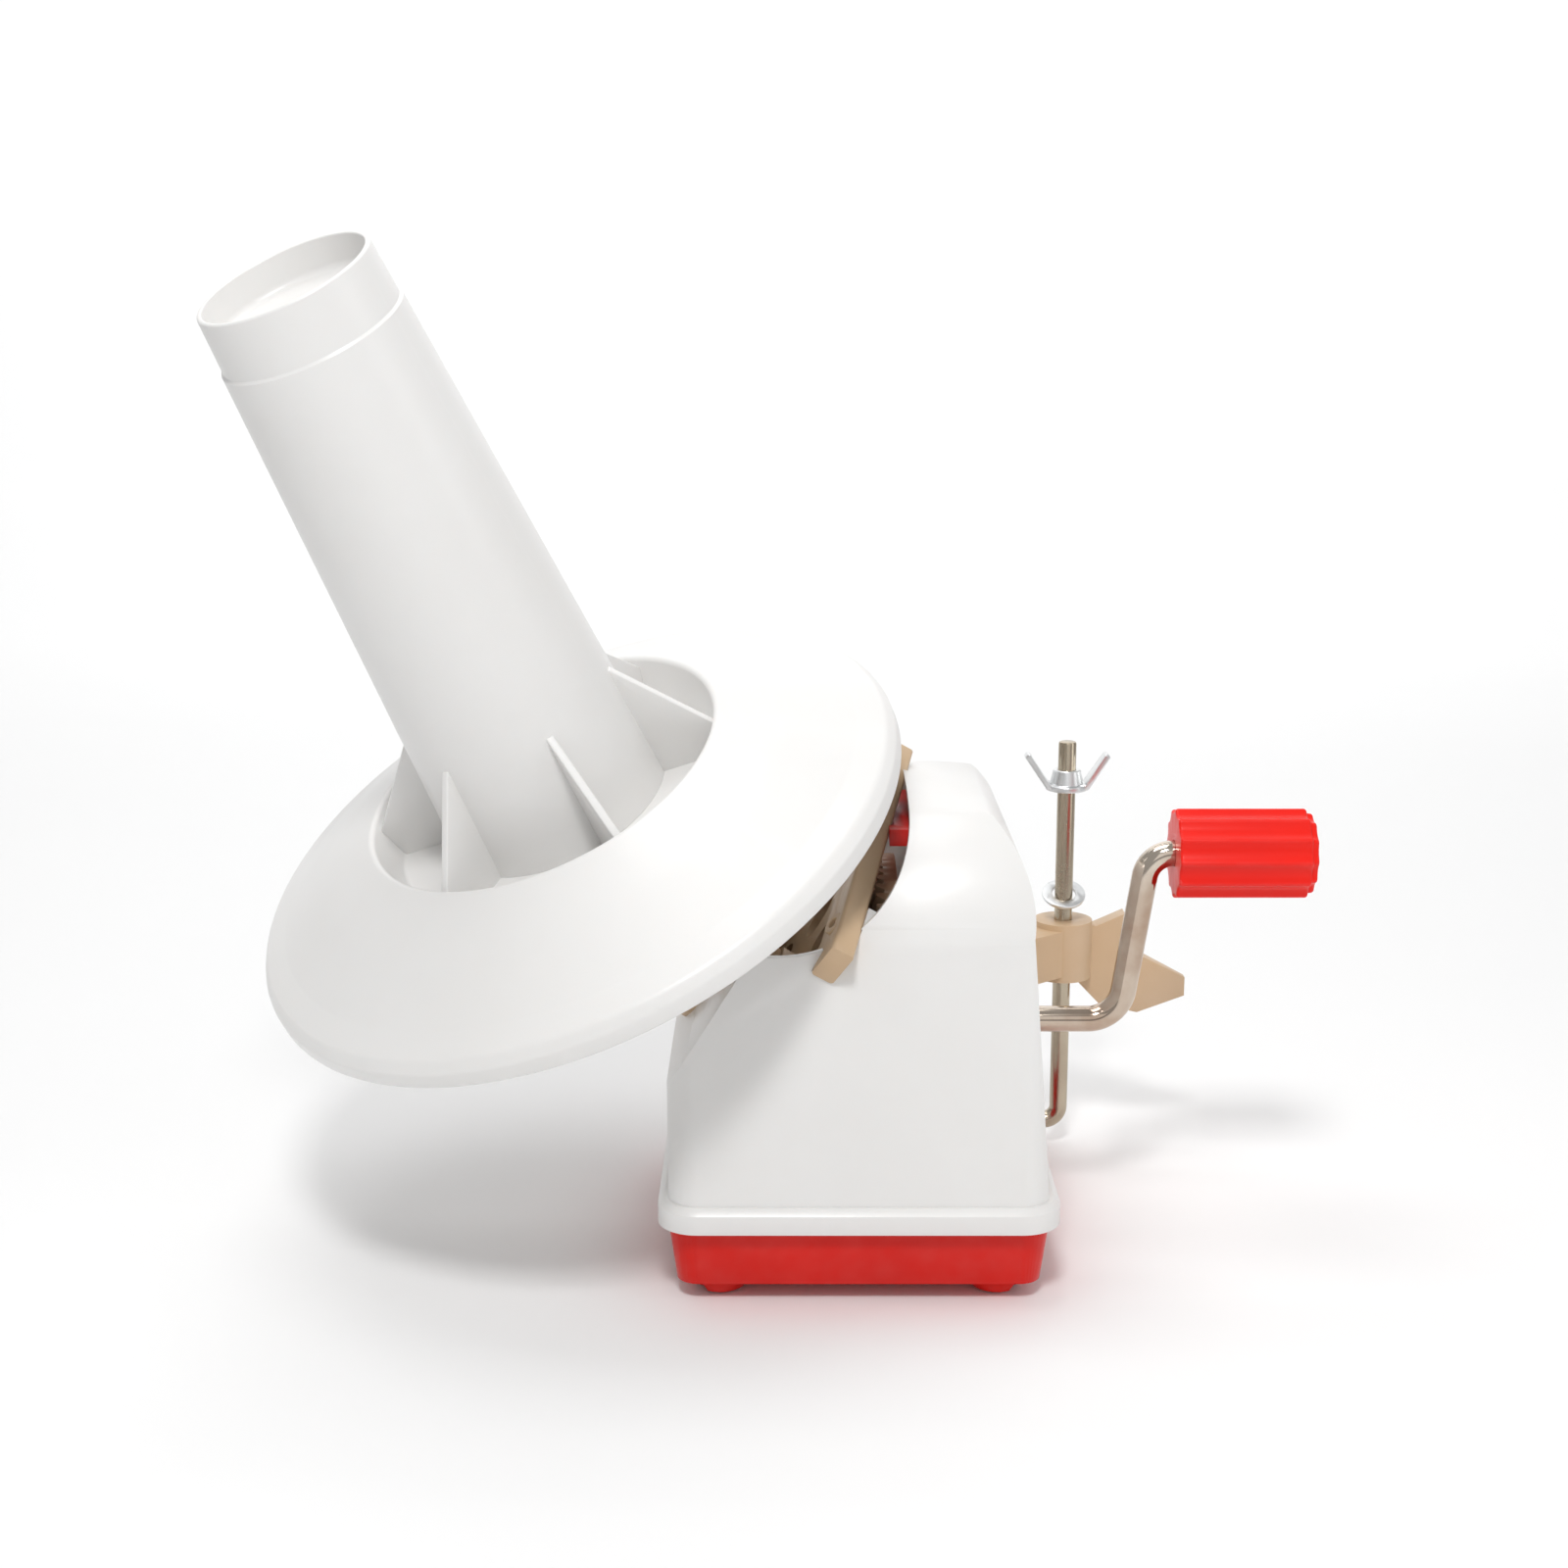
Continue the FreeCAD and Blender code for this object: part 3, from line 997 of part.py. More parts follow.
def wing_nut():
    """Wing nut: flange, hub and two raised wings."""
    low = Vector(CLAMP_X, CLAMP_Y, WING_NUT_Z)
    flange = rod(low, raised(low, WING_FLANGE_HEIGHT), WING_FLANGE_RADIUS)
    hub = Part.makeCone(WING_NUT_RADIUS + 0.6, WING_NUT_RADIUS - 0.8, WING_HUB_HEIGHT, low)
    wings = []
    for x_sign in (-1, 1):
        near = WING_NUT_RADIUS - 1.2
        corners = [Vector(x_sign * near, 0, 0.4), Vector(x_sign * (near + 2.6), 0, 1.0),
                   Vector(x_sign * WING_SPAN, 0, 9.8), Vector(x_sign * (WING_SPAN - 1.6), 0, 13.2),
                   Vector(x_sign * (WING_SPAN - 4.6), 0, 12.2), Vector(x_sign * near, 0, 6.4)]
        wing = flat_prism(corners, Vector(0, WING_THICKNESS, 0))
        wing.translate(low - Vector(0, WING_THICKNESS / 2, 0))
        wings.append(wing)
    bore = rod(raised(low, -1), raised(low, WING_HUB_HEIGHT + 2), CLAMP_ROD_RADIUS + RUN_GAP)
    return joined([flange, hub] + wings).cut(bore)


def base_screws():
    """Screws from below through the base into the housing's posts."""
    up = Vector(0, 0, 1)
    length = BASE_HEIGHT + POST_RISE - SCREW_HEAD_HEIGHT - 4
    heads = corner_places(POST_X, POST_Y, SCREW_HEAD_HEIGHT + FACE_GAP)
    return [screw(place, up, length) for place in heads]


def chassis_screws():
    """Screws through the chassis floor into the base."""
    floor_top = BASE_FLOOR + CHASSIS_FLOOR
    down = Vector(0, 0, -1)
    return [screw(place, down, floor_top - 0.5)
            for place in corner_places(CHASSIS_SCREW_X, CHASSIS_SCREW_Y, floor_top)]


def bearing_screws():
    """Screws through the fixed gear's flange and the front face into the bearing block."""
    length = SUN_FLANGE_THICKNESS + HOUSING_WALL + BEARING_FLANGE_THICKNESS
    return [screw(rotor_point(FRONT_FACE_DEPTH - SUN_FLANGE_THICKNESS, up, across), ROTOR_AXIS * -1, length)
            for up, across in bearing_screw_places()]


def bracket_screws():
    """Screws through the bracket's plate into the back wall."""
    return [screw(place + Vector(BRACKET_PLATE + 0.4, 0, 0), Vector(-1, 0, 0), BRACKET_PLATE + 6)
            for place in bracket_screw_places()]


def build():
    """Every piece of the winder under its node name."""
    back_x = back_wall_x(CRANK_Z)
    front_grub = ROTOR_GEAR_REACH - GRUB_INSET
    back_grub = BUSHING_INNER_START - CRANK_APEX.x - FACE_GAP - GRUB_INSET
    return {
        "base_shell": base_shell(),
        "housing_shell": housing_shell(),
        "chassis": chassis(),
        "gear_guard_bar": gear_guard_bar(),
        "rotor_bearing": rotor_bearing(),
        "rotor_bushing": rotor_bushing(),
        "sun_gear": sun_gear(),
        "crank_bushing_inner": crank_bushing(BUSHING_INNER_START, BUSHING_INNER_END),
        "crank_bushing_outer": crank_bushing(back_x - CRANK_BOSS_LENGTH, back_x + 1),
        "clamp_bracket": clamp_bracket(),
        "base_screws": Part.makeCompound(base_screws()),
        "chassis_screws": Part.makeCompound(chassis_screws()),
        "bearing_screws": Part.makeCompound(bearing_screws()),
        "bracket_screws": Part.makeCompound(bracket_screws()),
        "bar_pin": bar_pin(),
        "rotor_shaft": rotor_shaft(),
        "rotor_gear": rotor_gear(),
        "rotor_gear_grub": grub_screw(CRANK_APEX, ROTOR_AXIS, MESH_UP, front_grub, ROTOR_SHAFT_RADIUS),
        "shaft_ring": shaft_ring(),
        "rotor_elbow": rotor_elbow(),
        "bobbin_spindle": bobbin_spindle(),
        "thrust_washer": thrust_washer(),
        "spindle_nut": spindle_nut(),
        "bobbin_flange": bobbin_flange(),
        "bobbin_tower": bobbin_tower(),
        "bobbin_gear": bobbin_gear(),
        "bobbin_screws": Part.makeCompound(bobbin_screws()),
        "crank_rod": crank_rod(),
        "crank_gear": crank_gear(),
        "crank_gear_grub": grub_screw(CRANK_APEX, CRANK_AXIS, MESH_UP, back_grub, CRANK_ROD_RADIUS),
        "crank_collar": crank_collar(),
        "handle_grip": handle_grip(),
        "clamp_rod": clamp_rod(),
        "clamp_washer": clamp_washer(),
        "wing_nut": wing_nut(),
    }


def main():
    """Writes one file for each piece."""
    os.makedirs("parts", exist_ok=True)
    for name, shape in build().items():
        shape.exportStep("parts/" + name + ".step")


main()
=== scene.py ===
"""Dressed scene of a hand-cranked yarn ball winder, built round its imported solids. Lengths are in metres."""
import json
import logging
import math
from dataclasses import dataclass
from enum import Enum
from typing import Callable, Sequence

import bmesh
import bpy
from mathutils import Matrix, Vector


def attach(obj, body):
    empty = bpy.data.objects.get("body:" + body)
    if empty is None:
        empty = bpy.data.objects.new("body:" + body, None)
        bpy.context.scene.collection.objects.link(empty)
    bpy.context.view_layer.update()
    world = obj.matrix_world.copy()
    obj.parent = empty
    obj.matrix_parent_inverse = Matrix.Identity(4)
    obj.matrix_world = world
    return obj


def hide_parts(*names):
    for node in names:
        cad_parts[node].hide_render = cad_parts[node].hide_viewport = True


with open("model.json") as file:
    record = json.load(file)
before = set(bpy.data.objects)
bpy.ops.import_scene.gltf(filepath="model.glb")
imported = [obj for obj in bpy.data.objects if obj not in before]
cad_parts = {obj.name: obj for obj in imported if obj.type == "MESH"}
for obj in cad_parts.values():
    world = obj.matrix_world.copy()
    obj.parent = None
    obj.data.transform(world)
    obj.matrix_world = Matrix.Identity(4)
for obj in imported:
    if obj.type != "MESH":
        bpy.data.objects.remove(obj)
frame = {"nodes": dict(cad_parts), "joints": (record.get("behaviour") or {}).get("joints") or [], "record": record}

LOG = logging.getLogger("winder")
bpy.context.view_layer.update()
MM = 0.001
MERGE_DISTANCE = 2e-6
POLE_DISTANCE = 1e-7
RIM_DEPTH = 0.00005
FLAT_ANGLE = 0.6
SHARP_ANGLE = 32.0
TURN = 2 * math.pi
Point = tuple[float, float]
Corner = tuple[float, float, float]
Colour = tuple[float, float, float]
Place = tuple[float, float, float]


@dataclass(frozen=True)
class Axis:
    """A line in the frame: a point on it and its unit direction."""

    point: Vector
    direction: Vector

    def placing(self, hint: Vector) -> Matrix:
        """Matrix that stands local +Z on the axis.

        Args:
            hint: Direction that local +X leans towards.

        Returns:
            The placing of a piece built about local +Z.
        """
        side = (hint - self.direction * hint.dot(self.direction)).normalized()
        across = self.direction.cross(side)
        turn = Matrix((side, across, self.direction)).transposed()
        return Matrix.Translation(self.point) @ turn.to_4x4()


def joint_axis(name: str) -> Axis:
    """Axis of a joint of the frame.

    Args:
        name: The joint's name.

    Returns:
        Its point and unit direction.
    """
    joint = next(joint for joint in frame["joints"] if joint["name"] == name)
    return Axis(Vector(joint["pos_m"]), Vector(joint["axis"]).normalized())


BOBBIN_AXIS = joint_axis("bobbin_spin")
ROTOR_AXIS = joint_axis("rotor_spin")
CRANK_AXIS = joint_axis("crank_spin")
GRIP_AXIS = joint_axis("grip_spin")
NUT_AXIS = joint_axis("wing_nut_spin")
UP = Vector((0.0, 0.0, 1.0))
BACK = Vector((0.0, 1.0, 0.0))


class Shared(Enum):
    """Surface effects that several materials use, one node group each."""

    SKIN = "moulded_skin"
    SCRATCHES = "handling_scratches"
    DRAWN = "drawn_lines"
    WEAR = "edge_wear"
    DUST = "settled_dust"


def feed(tree: bpy.types.NodeTree, socket: bpy.types.NodeSocket, value: object) -> None:
    """Links an output to a socket, or sets the socket's value.

    Args:
        tree: The tree that holds the socket.
        socket: The input socket.
        value: An output to link, or a plain value.
    """
    if isinstance(value, bpy.types.NodeSocket):
        tree.links.new(value, socket)
    else:
        socket.default_value = value


class TreeMaker:
    """Base of the makers of shader and geometry node trees."""

    tree: bpy.types.NodeTree

    def node(self, kind: str, **links: object) -> bpy.types.Node:
        """Adds a node and sets or links its inputs.

        Args:
            kind: The node's type.
            **links: Input names, with underscores for spaces, and a value or an output to link.

        Returns:
            The new node.
        """
        made = self.tree.nodes.new(kind)
        for key, value in links.items():
            feed(self.tree, made.inputs[key.replace("_", " ")], value)
        return made

    def maths(self, operation: str, *terms: object) -> bpy.types.NodeSocket:
        """Output of a math node whose terms are numbers or outputs.

        Args:
            operation: The node's operation.
            *terms: Numbers or outputs, in the order of the node's inputs.

        Returns:
            The node's output.
        """
        made = self.tree.nodes.new("ShaderNodeMath")
        made.operation = operation
        for socket, term in zip(made.inputs, terms):
            feed(self.tree, socket, term)
        return made.outputs[0]

    def mixed(self, mask: bpy.types.NodeSocket, low: object, high: object) -> bpy.types.NodeSocket:
        """Colour between two colours or outputs by a mask.

        Args:
            mask: Share of the second colour, from 0 to 1.
            low: Colour or output where the mask is 0.
            high: Colour or output where the mask is 1.

        Returns:
            The mixed colour.
        """
        mix = self.tree.nodes.new("ShaderNodeMix")
        mix.data_type = "RGBA"
        # The node lists a set of sockets for each data type: 6 and 7 in and 2 out are the colours
        for index, value in ((0, mask), (6, low), (7, high)):
            feed(self.tree, mix.inputs[index], value)
        return mix.outputs[2]

    def place(self) -> bpy.types.NodeSocket:
        """Object coordinates of a shader tree."""
        return self.tree.nodes.new("ShaderNodeTexCoord").outputs["Object"]


@dataclass
class GroupMaker(TreeMaker):
    """Builds one shader node group from named sockets and links.

    Attributes:
        name: The group's name.
    """

    name: str

    def __post_init__(self) -> None:
        """Creates the empty group with its ends."""
        self.tree = bpy.data.node_groups.new(self.name, "ShaderNodeTree")
        self.source = self.tree.nodes.new("NodeGroupInput")
        self.sink = self.tree.nodes.new("NodeGroupOutput")

    def take(self, name: str, kind: str, value: float | tuple | None = None) -> None:
        """Adds an input socket.

        Args:
            name: The socket's name.
            kind: Its type.
            value: Its default value.
        """
        socket = self.tree.interface.new_socket(name, in_out="INPUT", socket_type=kind)
        if value is not None:
            socket.default_value = value

    def give(self, name: str, kind: str, output: bpy.types.NodeSocket) -> None:
        """Adds an output socket fed by a node's output."""
        self.tree.interface.new_socket(name, in_out="OUTPUT", socket_type=kind)
        self.tree.links.new(output, self.sink.inputs[name])

    def ramp(self, value: bpy.types.NodeSocket, low: float, high: float) -> bpy.types.NodeSocket:
        """Value mapped from a range of inputs to 0 and 1, clamped."""
        return self.node("ShaderNodeMapRange", Value=value, From_Min=low, From_Max=high).outputs[0]


def skin_group() -> bpy.types.NodeTree:
    """Group of moulded plastic: clouded colour, uneven gloss and a fine orange-peel height.

    Returns:
        The group, with outputs Colour, Roughness and Height.
    """
    maker = GroupMaker(Shared.SKIN.value)
    maker.take("Colour", "NodeSocketColor", (0.8, 0.8, 0.8, 1.0))
    maker.take("Shade", "NodeSocketColor", (0.7, 0.7, 0.7, 1.0))
    maker.take("Cloud Scale", "NodeSocketFloat", 18.0)
    maker.take("Peel Scale", "NodeSocketFloat", 900.0)
    maker.take("Roughness", "NodeSocketFloat", 0.3)
    maker.take("Spread", "NodeSocketFloat", 0.08)
    place = maker.place()
    cloud = maker.node("ShaderNodeTexNoise", Vector=place, Scale=maker.source.outputs["Cloud Scale"], Detail=4.0)
    peel = maker.node("ShaderNodeTexNoise", Vector=place, Scale=maker.source.outputs["Peel Scale"], Detail=2.0)
    share = maker.ramp(cloud.outputs[0], 0.35, 0.7)
    colour = maker.mixed(share, maker.source.outputs["Colour"], maker.source.outputs["Shade"])
    swing = maker.maths("SUBTRACT", cloud.outputs[0], 0.5)
    gloss = maker.maths("MULTIPLY_ADD", swing, maker.source.outputs["Spread"], maker.source.outputs["Roughness"])
    height = maker.maths("MULTIPLY_ADD", peel.outputs[0], 0.35, cloud.outputs[0])
    maker.give("Colour", "NodeSocketColor", colour)
    maker.give("Roughness", "NodeSocketFloat", gloss)
    maker.give("Height", "NodeSocketFloat", height)
    return maker.tree


def scratch_group() -> bpy.types.NodeTree:
    """Group of thin crossing hairlines that handling leaves, as a mask.

    Returns:
        The group, with output Mask.
    """
    maker = GroupMaker(Shared.SCRATCHES.value)
    maker.take("Scale", "NodeSocketFloat", 60.0)
    maker.take("Amount", "NodeSocketFloat", 0.5)
    place = maker.place()
    lines = []
    for turn in ((0.4, 0.9, 0.2), (1.3, 0.2, 1.1)):
        mapping = maker.node("ShaderNodeMapping", Vector=place, Rotation=turn, Scale=(1.0, 0.06, 1.0))
        noise = maker.node("ShaderNodeTexNoise", Vector=mapping.outputs[0], Scale=maker.source.outputs["Scale"],
                           Detail=5.0, Roughness=0.75)
        lines.append(maker.ramp(noise.outputs[0], 0.62, 0.68))
    mask = maker.maths("MAXIMUM", *lines)
    mask = maker.maths("MULTIPLY", mask, maker.source.outputs["Amount"])
    maker.give("Mask", "NodeSocketFloat", mask)
    return maker.tree


def drawn_group() -> bpy.types.NodeTree:
    """Group of fine lines that drawing or turning leaves round a rod.

    Returns:
        The group, with output Height.
    """
    maker = GroupMaker(Shared.DRAWN.value)
    maker.take("Vector", "NodeSocketVector")
    maker.take("Scale", "NodeSocketFloat", 400.0)
    stretched = maker.node("ShaderNodeMapping", Vector=maker.source.outputs["Vector"], Scale=(1.0, 1.0, 0.03))
    noise = maker.node("ShaderNodeTexNoise", Vector=stretched.outputs[0], Scale=maker.source.outputs["Scale"],
                       Detail=3.0)
    maker.give("Height", "NodeSocketFloat", noise.outputs[0])
    return maker.tree


def wear_group() -> bpy.types.NodeTree:
    """Group that finds the edges that hands and tables rub.

    Returns:
        The group, with output Mask.
    """
    maker = GroupMaker(Shared.WEAR.value)
    maker.take("Reach", "NodeSocketFloat", 0.06)
    edge = maker.tree.nodes.new("ShaderNodeNewGeometry").outputs["Pointiness"]
    place = maker.place()
    noise = maker.node("ShaderNodeTexNoise", Vector=place, Scale=120.0, Detail=4.0)
    rise = maker.maths("SUBTRACT", edge, 0.5)
    share = maker.maths("DIVIDE", rise, maker.source.outputs["Reach"])
    rough = maker.maths("MULTIPLY", share, noise.outputs[0])
    maker.give("Mask", "NodeSocketFloat", maker.ramp(rough, 0.1, 0.9))
    return maker.tree


def dust_group() -> bpy.types.NodeTree:
    """Group of thin dust that lies on faces that look up.

    Returns:
        The group, with output Mask.
    """
    maker = GroupMaker(Shared.DUST.value)
    maker.take("Amount", "NodeSocketFloat", 0.2)
    normal = maker.tree.nodes.new("ShaderNodeNewGeometry").outputs["Normal"]
    split = maker.node("ShaderNodeSeparateXYZ", Vector=normal)
    place = maker.place()
    noise = maker.node("ShaderNodeTexNoise", Vector=place, Scale=45.0, Detail=6.0)
    facing = maker.ramp(split.outputs["Z"], 0.3, 1.0)
    patch = maker.ramp(noise.outputs[0], 0.42, 0.7)
    mask = maker.maths("MULTIPLY", facing, patch)
    maker.give("Mask", "NodeSocketFloat", maker.maths("MULTIPLY", mask, maker.source.outputs["Amount"]))
    return maker.tree


SHARED_MAKERS: dict[Shared, Callable[[], bpy.types.NodeTree]] = {
    Shared.SKIN: skin_group,
    Shared.SCRATCHES: scratch_group,
    Shared.DRAWN: drawn_group,
    Shared.WEAR: wear_group,
    Shared.DUST: dust_group,
}


@dataclass
class MaterialMaker(TreeMaker):
    """Node tree of one material with its Principled shader.

    Attributes:
        name: The material's name.
    """

    name: str

    def __post_init__(self) -> None:
        """Creates the material and finds its shader."""
        self.material = bpy.data.materials.new(self.name)
        self.material.use_nodes = True
        self.tree = self.material.node_tree
        self.shader = self.tree.nodes["Principled BSDF"]

    def effect(self, kind: Shared, **values: object) -> bpy.types.Node:
        """Places a shared effect in the material.

        Args:
            kind: The effect.
            **values: Values or outputs for the group's inputs, with underscores for spaces.

        Returns:
            The group's node.
        """
        node = self.tree.nodes.new("ShaderNodeGroup")
        node.node_tree = bpy.data.node_groups.get(kind.value) or SHARED_MAKERS[kind]()
        for key, value in values.items():
            feed(self.tree, node.inputs[key.replace("_", " ")], value)
        return node

    def bump(self, height: bpy.types.NodeSocket, distance: float, strength: float) -> None:
        """Feeds the shader's normal from a height in metres."""
        node = self.node("ShaderNodeBump", Distance=distance, Strength=strength, Height=height)
        self.tree.links.new(node.outputs["Normal"], self.shader.inputs["Normal"])

    def set(self, **values: object) -> None:
        """Sets or links the shader's own sockets."""
        for key, value in values.items():
            feed(self.tree, self.shader.inputs[key.replace("_", " ")], value)


@dataclass(frozen=True)
class MouldedPlastic:
    """Injection-moulded plastic.

    Attributes:
        name: The material's name.
        slot: The record's material slot; not used.
        colour: Main colour.
        shade: Colour of the slightly deeper clouds.
        roughness: Mean roughness.
        peel: Depth of the orange-peel surface in metres.
        wear: How strongly edges pale.
        coat: Weight of the glossy coat.
        glow: Weight of light that passes under the surface.
        dust: How much dust lies on faces that look up.
        specular: Level of the plain reflection.
    """

    name: str
    slot: str
    colour: Colour
    shade: Colour
    roughness: float
    peel: float
    wear: float
    coat: float
    glow: float
    dust: float
    specular: float = 0.5

    def material(self) -> bpy.types.Material:
        """Builds the material.

        Returns:
            The material.
        """
        maker = MaterialMaker(self.name)
        skin = maker.effect(Shared.SKIN, Colour=(*self.colour, 1.0), Shade=(*self.shade, 1.0),
                            Roughness=self.roughness)
        scratches = maker.effect(Shared.SCRATCHES, Scale=70.0, Amount=0.35)
        wear = maker.effect(Shared.WEAR)
        dust = maker.effect(Shared.DUST, Amount=self.dust)
        pale = tuple(channel + (1.0 - channel) * 0.35 for channel in self.colour)
        worn = maker.maths("MULTIPLY", wear.outputs["Mask"], self.wear)
        colour = maker.mixed(worn, skin.outputs["Colour"], (*pale, 1.0))
        colour = maker.mixed(dust.outputs["Mask"], colour, (0.72, 0.70, 0.66, 1.0))
        rough = maker.maths("MULTIPLY_ADD", scratches.outputs["Mask"], 0.12, skin.outputs["Roughness"])
        rough = maker.maths("MULTIPLY_ADD", dust.outputs["Mask"], 0.6, rough)
        maker.set(Base_Color=colour, Roughness=rough, Coat_Weight=self.coat, Coat_Roughness=0.12,
                  Subsurface_Weight=self.glow, Subsurface_Radius=(0.004, 0.003, 0.0025), IOR=1.49,
                  Specular_IOR_Level=self.specular)
        height = maker.maths("MULTIPLY_ADD", scratches.outputs["Mask"], -0.25, skin.outputs["Height"])
        maker.bump(height, self.peel, 0.6)
        return maker.material


@dataclass(frozen=True)
class PlatedMetal:
    """Plated steel rod, sheet or fastener.

    Attributes:
        name: The material's name.
        slot: The record's material slot; not used.
        colour: Colour of the plating; on the chrome rod it is darkened and warmed as painted reflection of dark,
            warm surroundings.
        tarnish_and_reflection: Colour of its duller patches, tarnish; on the chrome rod these patches are painted
            reflection of dark, warm surroundings.
        roughness: Mean roughness.
        lines: Depth of the drawn lines in metres.
        along: Direction that the lines run in.
    """

    name: str
    slot: str
    colour: Colour
    tarnish_and_reflection: Colour
    roughness: float
    lines: float
    along: Place = (0.0, 0.0, 1.0)

    def material(self) -> bpy.types.Material:
        """Builds the material.

        Returns:
            The material.
        """
        maker = MaterialMaker(self.name)
        # The clouds mix the plating colour with the patch colour; on the chrome rod both carry painted reflection
        # of dark, warm surroundings.
        skin = maker.effect(Shared.SKIN, Colour=(*self.colour, 1.0), Shade=(*self.tarnish_and_reflection, 1.0),
                            Roughness=self.roughness, Cloud_Scale=60.0, Spread=0.12)
        turn = Vector(self.along).rotation_difference(UP).to_euler()
        mapping = maker.node("ShaderNodeMapping", Vector=maker.place(), Rotation=turn)
        drawn = maker.effect(Shared.DRAWN, Vector=mapping.outputs[0], Scale=1500.0)
        scratches = maker.effect(Shared.SCRATCHES, Scale=90.0, Amount=0.5)
        wear = maker.effect(Shared.WEAR)
        bright = tuple(min(1.0, channel * 1.25) for channel in self.colour)
        worn = maker.maths("MULTIPLY", wear.outputs["Mask"], 0.5)
        colour = maker.mixed(worn, skin.outputs["Colour"], (*bright, 1.0))
        rough = maker.maths("MULTIPLY_ADD", scratches.outputs["Mask"], 0.15, skin.outputs["Roughness"])
        maker.set(Base_Color=colour, Roughness=rough, Metallic=1.0)
        height = maker.maths("MULTIPLY_ADD", scratches.outputs["Mask"], -0.4, drawn.outputs["Height"])
        maker.bump(height, self.lines, 0.7)
        return maker.material


class Finish(Enum):
    """Finishes of the winder's pieces."""

    WHITE_SHELL = MouldedPlastic("white_shell", "white_plastic", (0.79, 0.782, 0.77), (0.77, 0.76, 0.745),
                                 0.34, 0.00006, 0.12, 0.05, 0.08, 0.05)
    RED_SHELL = MouldedPlastic("red_shell", "red_plastic", (0.68, 0.009, 0.003), (0.60, 0.007, 0.002),
                               0.30, 0.00005, 0.12, 0.0, 0.05, 0.006, 0.22)
    RED_GRIP = MouldedPlastic("red_grip", "red_plastic", (0.86, 0.016, 0.008), (0.78, 0.013, 0.007),
                              0.32, 0.00005, 0.12, 0.0, 0.05, 0.006, 0.22)
    TAN_GEAR = MouldedPlastic("tan_gear", "tan_plastic", (0.60, 0.43, 0.265), (0.52, 0.36, 0.215),
                              0.42, 0.00007, 0.20, 0.0, 0.05, 0.02)
    # Chrome: its warm colour and darker brown patches are partly painted reflection of dark, warm surroundings,
    # not only the plating's own tone.
    CHROME_ROD = PlatedMetal("chrome_rod", "chrome", (0.66, 0.58, 0.49), (0.44, 0.32, 0.24),
                             0.10, 0.000004, (1.0, 0.0, 0.0))
    CHAMPAGNE_ROD = PlatedMetal("champagne_rod", "nickel_steel", (0.50, 0.43, 0.33), (0.40, 0.33, 0.25),
                                0.24, 0.00001)
    ZINC = PlatedMetal("zinc_plate", "zinc_steel", (0.76, 0.77, 0.77), (0.62, 0.63, 0.64), 0.34, 0.00002)
    BRONZE = PlatedMetal("bushing_bronze", "bearing_bronze", (0.55, 0.38, 0.20), (0.42, 0.29, 0.16),
                         0.42, 0.00002)


MATERIALS: dict[Finish, bpy.types.Material] = {}


def material_of(finish: Finish) -> bpy.types.Material:
    """Material of a finish, built at its first use.

    Args:
        finish: The finish.

    Returns:
        Its material.
    """
    if finish not in MATERIALS:
        MATERIALS[finish] = finish.value.material()
    return MATERIALS[finish]


def rounded(corners: Sequence[Corner], steps: int = 6) -> list[Point]:
    """Rounds the corners of an outline with arcs.

    Args:
        corners: Points as (x, y, fillet radius).
        steps: Segments in each arc.

    Returns:
        The outline's points.
    """
    outline: list[Point] = []
    count = len(corners)
    for index, (x, y, radius) in enumerate(corners):
        here = Vector((x, y))
        before = Vector(corners[index - 1][:2]) - here
        after = Vector(corners[(index + 1) % count][:2]) - here
        half = before.angle(after) / 2
        if radius <= 0 or abs(half - math.pi / 2) < 1e-4:
            outline.append((x, y))
            continue
        setback = min(radius / math.tan(half), before.length * 0.49, after.length * 0.49)
        reach = setback * math.tan(half)
        centre = here + (before.normalized() + after.normalized()).normalized() * (reach / math.sin(half))
        start = here + before.normalized() * setback - centre
        end = here + after.normalized() * setback - centre
        sweep = start.angle_signed(end)
        for step in range(steps + 1):
            spoke = Matrix.Rotation(-sweep * step / steps, 2) @ start
            outline.append((centre.x + spoke.x, centre.y + spoke.y))
    return outline


def mesh_of(name: str, shape: bmesh.types.BMesh) -> bpy.types.Mesh:
    """Mesh of a finished bmesh, which is freed.

    Args:
        name: The mesh's name.
        shape: The finished bmesh.

    Returns:
        The mesh.
    """
    mesh = bpy.data.meshes.new(name)
    shape.to_mesh(mesh)
    shape.free()
    return mesh


def revolve(name: str, outline: Sequence[Point], segments: int) -> bpy.types.Mesh:
    """Mesh of a closed outline turned about local Z.

    Args:
        name: The mesh's name.
        outline: Points as (radius, height); a radius of 0 makes a pole.
        segments: Steps round the axis.

    Returns:
        The mesh, with its normals outwards.
    """
    shape = bmesh.new()
    rings = []
    for index in range(segments):
        angle = TURN * index / segments
        rings.append([shape.verts.new((radius * math.cos(angle), radius * math.sin(angle), height))
                      for radius, height in outline])
    count = len(outline)
    for index in range(segments):
        ring = rings[index]
        following = rings[(index + 1) % segments]
        for step in range(count):
            after = (step + 1) % count
            shape.faces.new((ring[step], ring[after], following[after], following[step]))
    bmesh.ops.remove_doubles(shape, verts=shape.verts, dist=POLE_DISTANCE)
    bmesh.ops.recalc_face_normals(shape, faces=shape.faces)
    return mesh_of(name, shape)


def mesh_object(name: str, mesh: bpy.types.Mesh) -> bpy.types.Object:
    """Object of a mesh, linked to the scene.

    Args:
        name: The object's name.
        mesh: Its mesh.

    Returns:
        The object.
    """
    made = bpy.data.objects.new(name, mesh)
    bpy.context.scene.collection.objects.link(made)
    return made


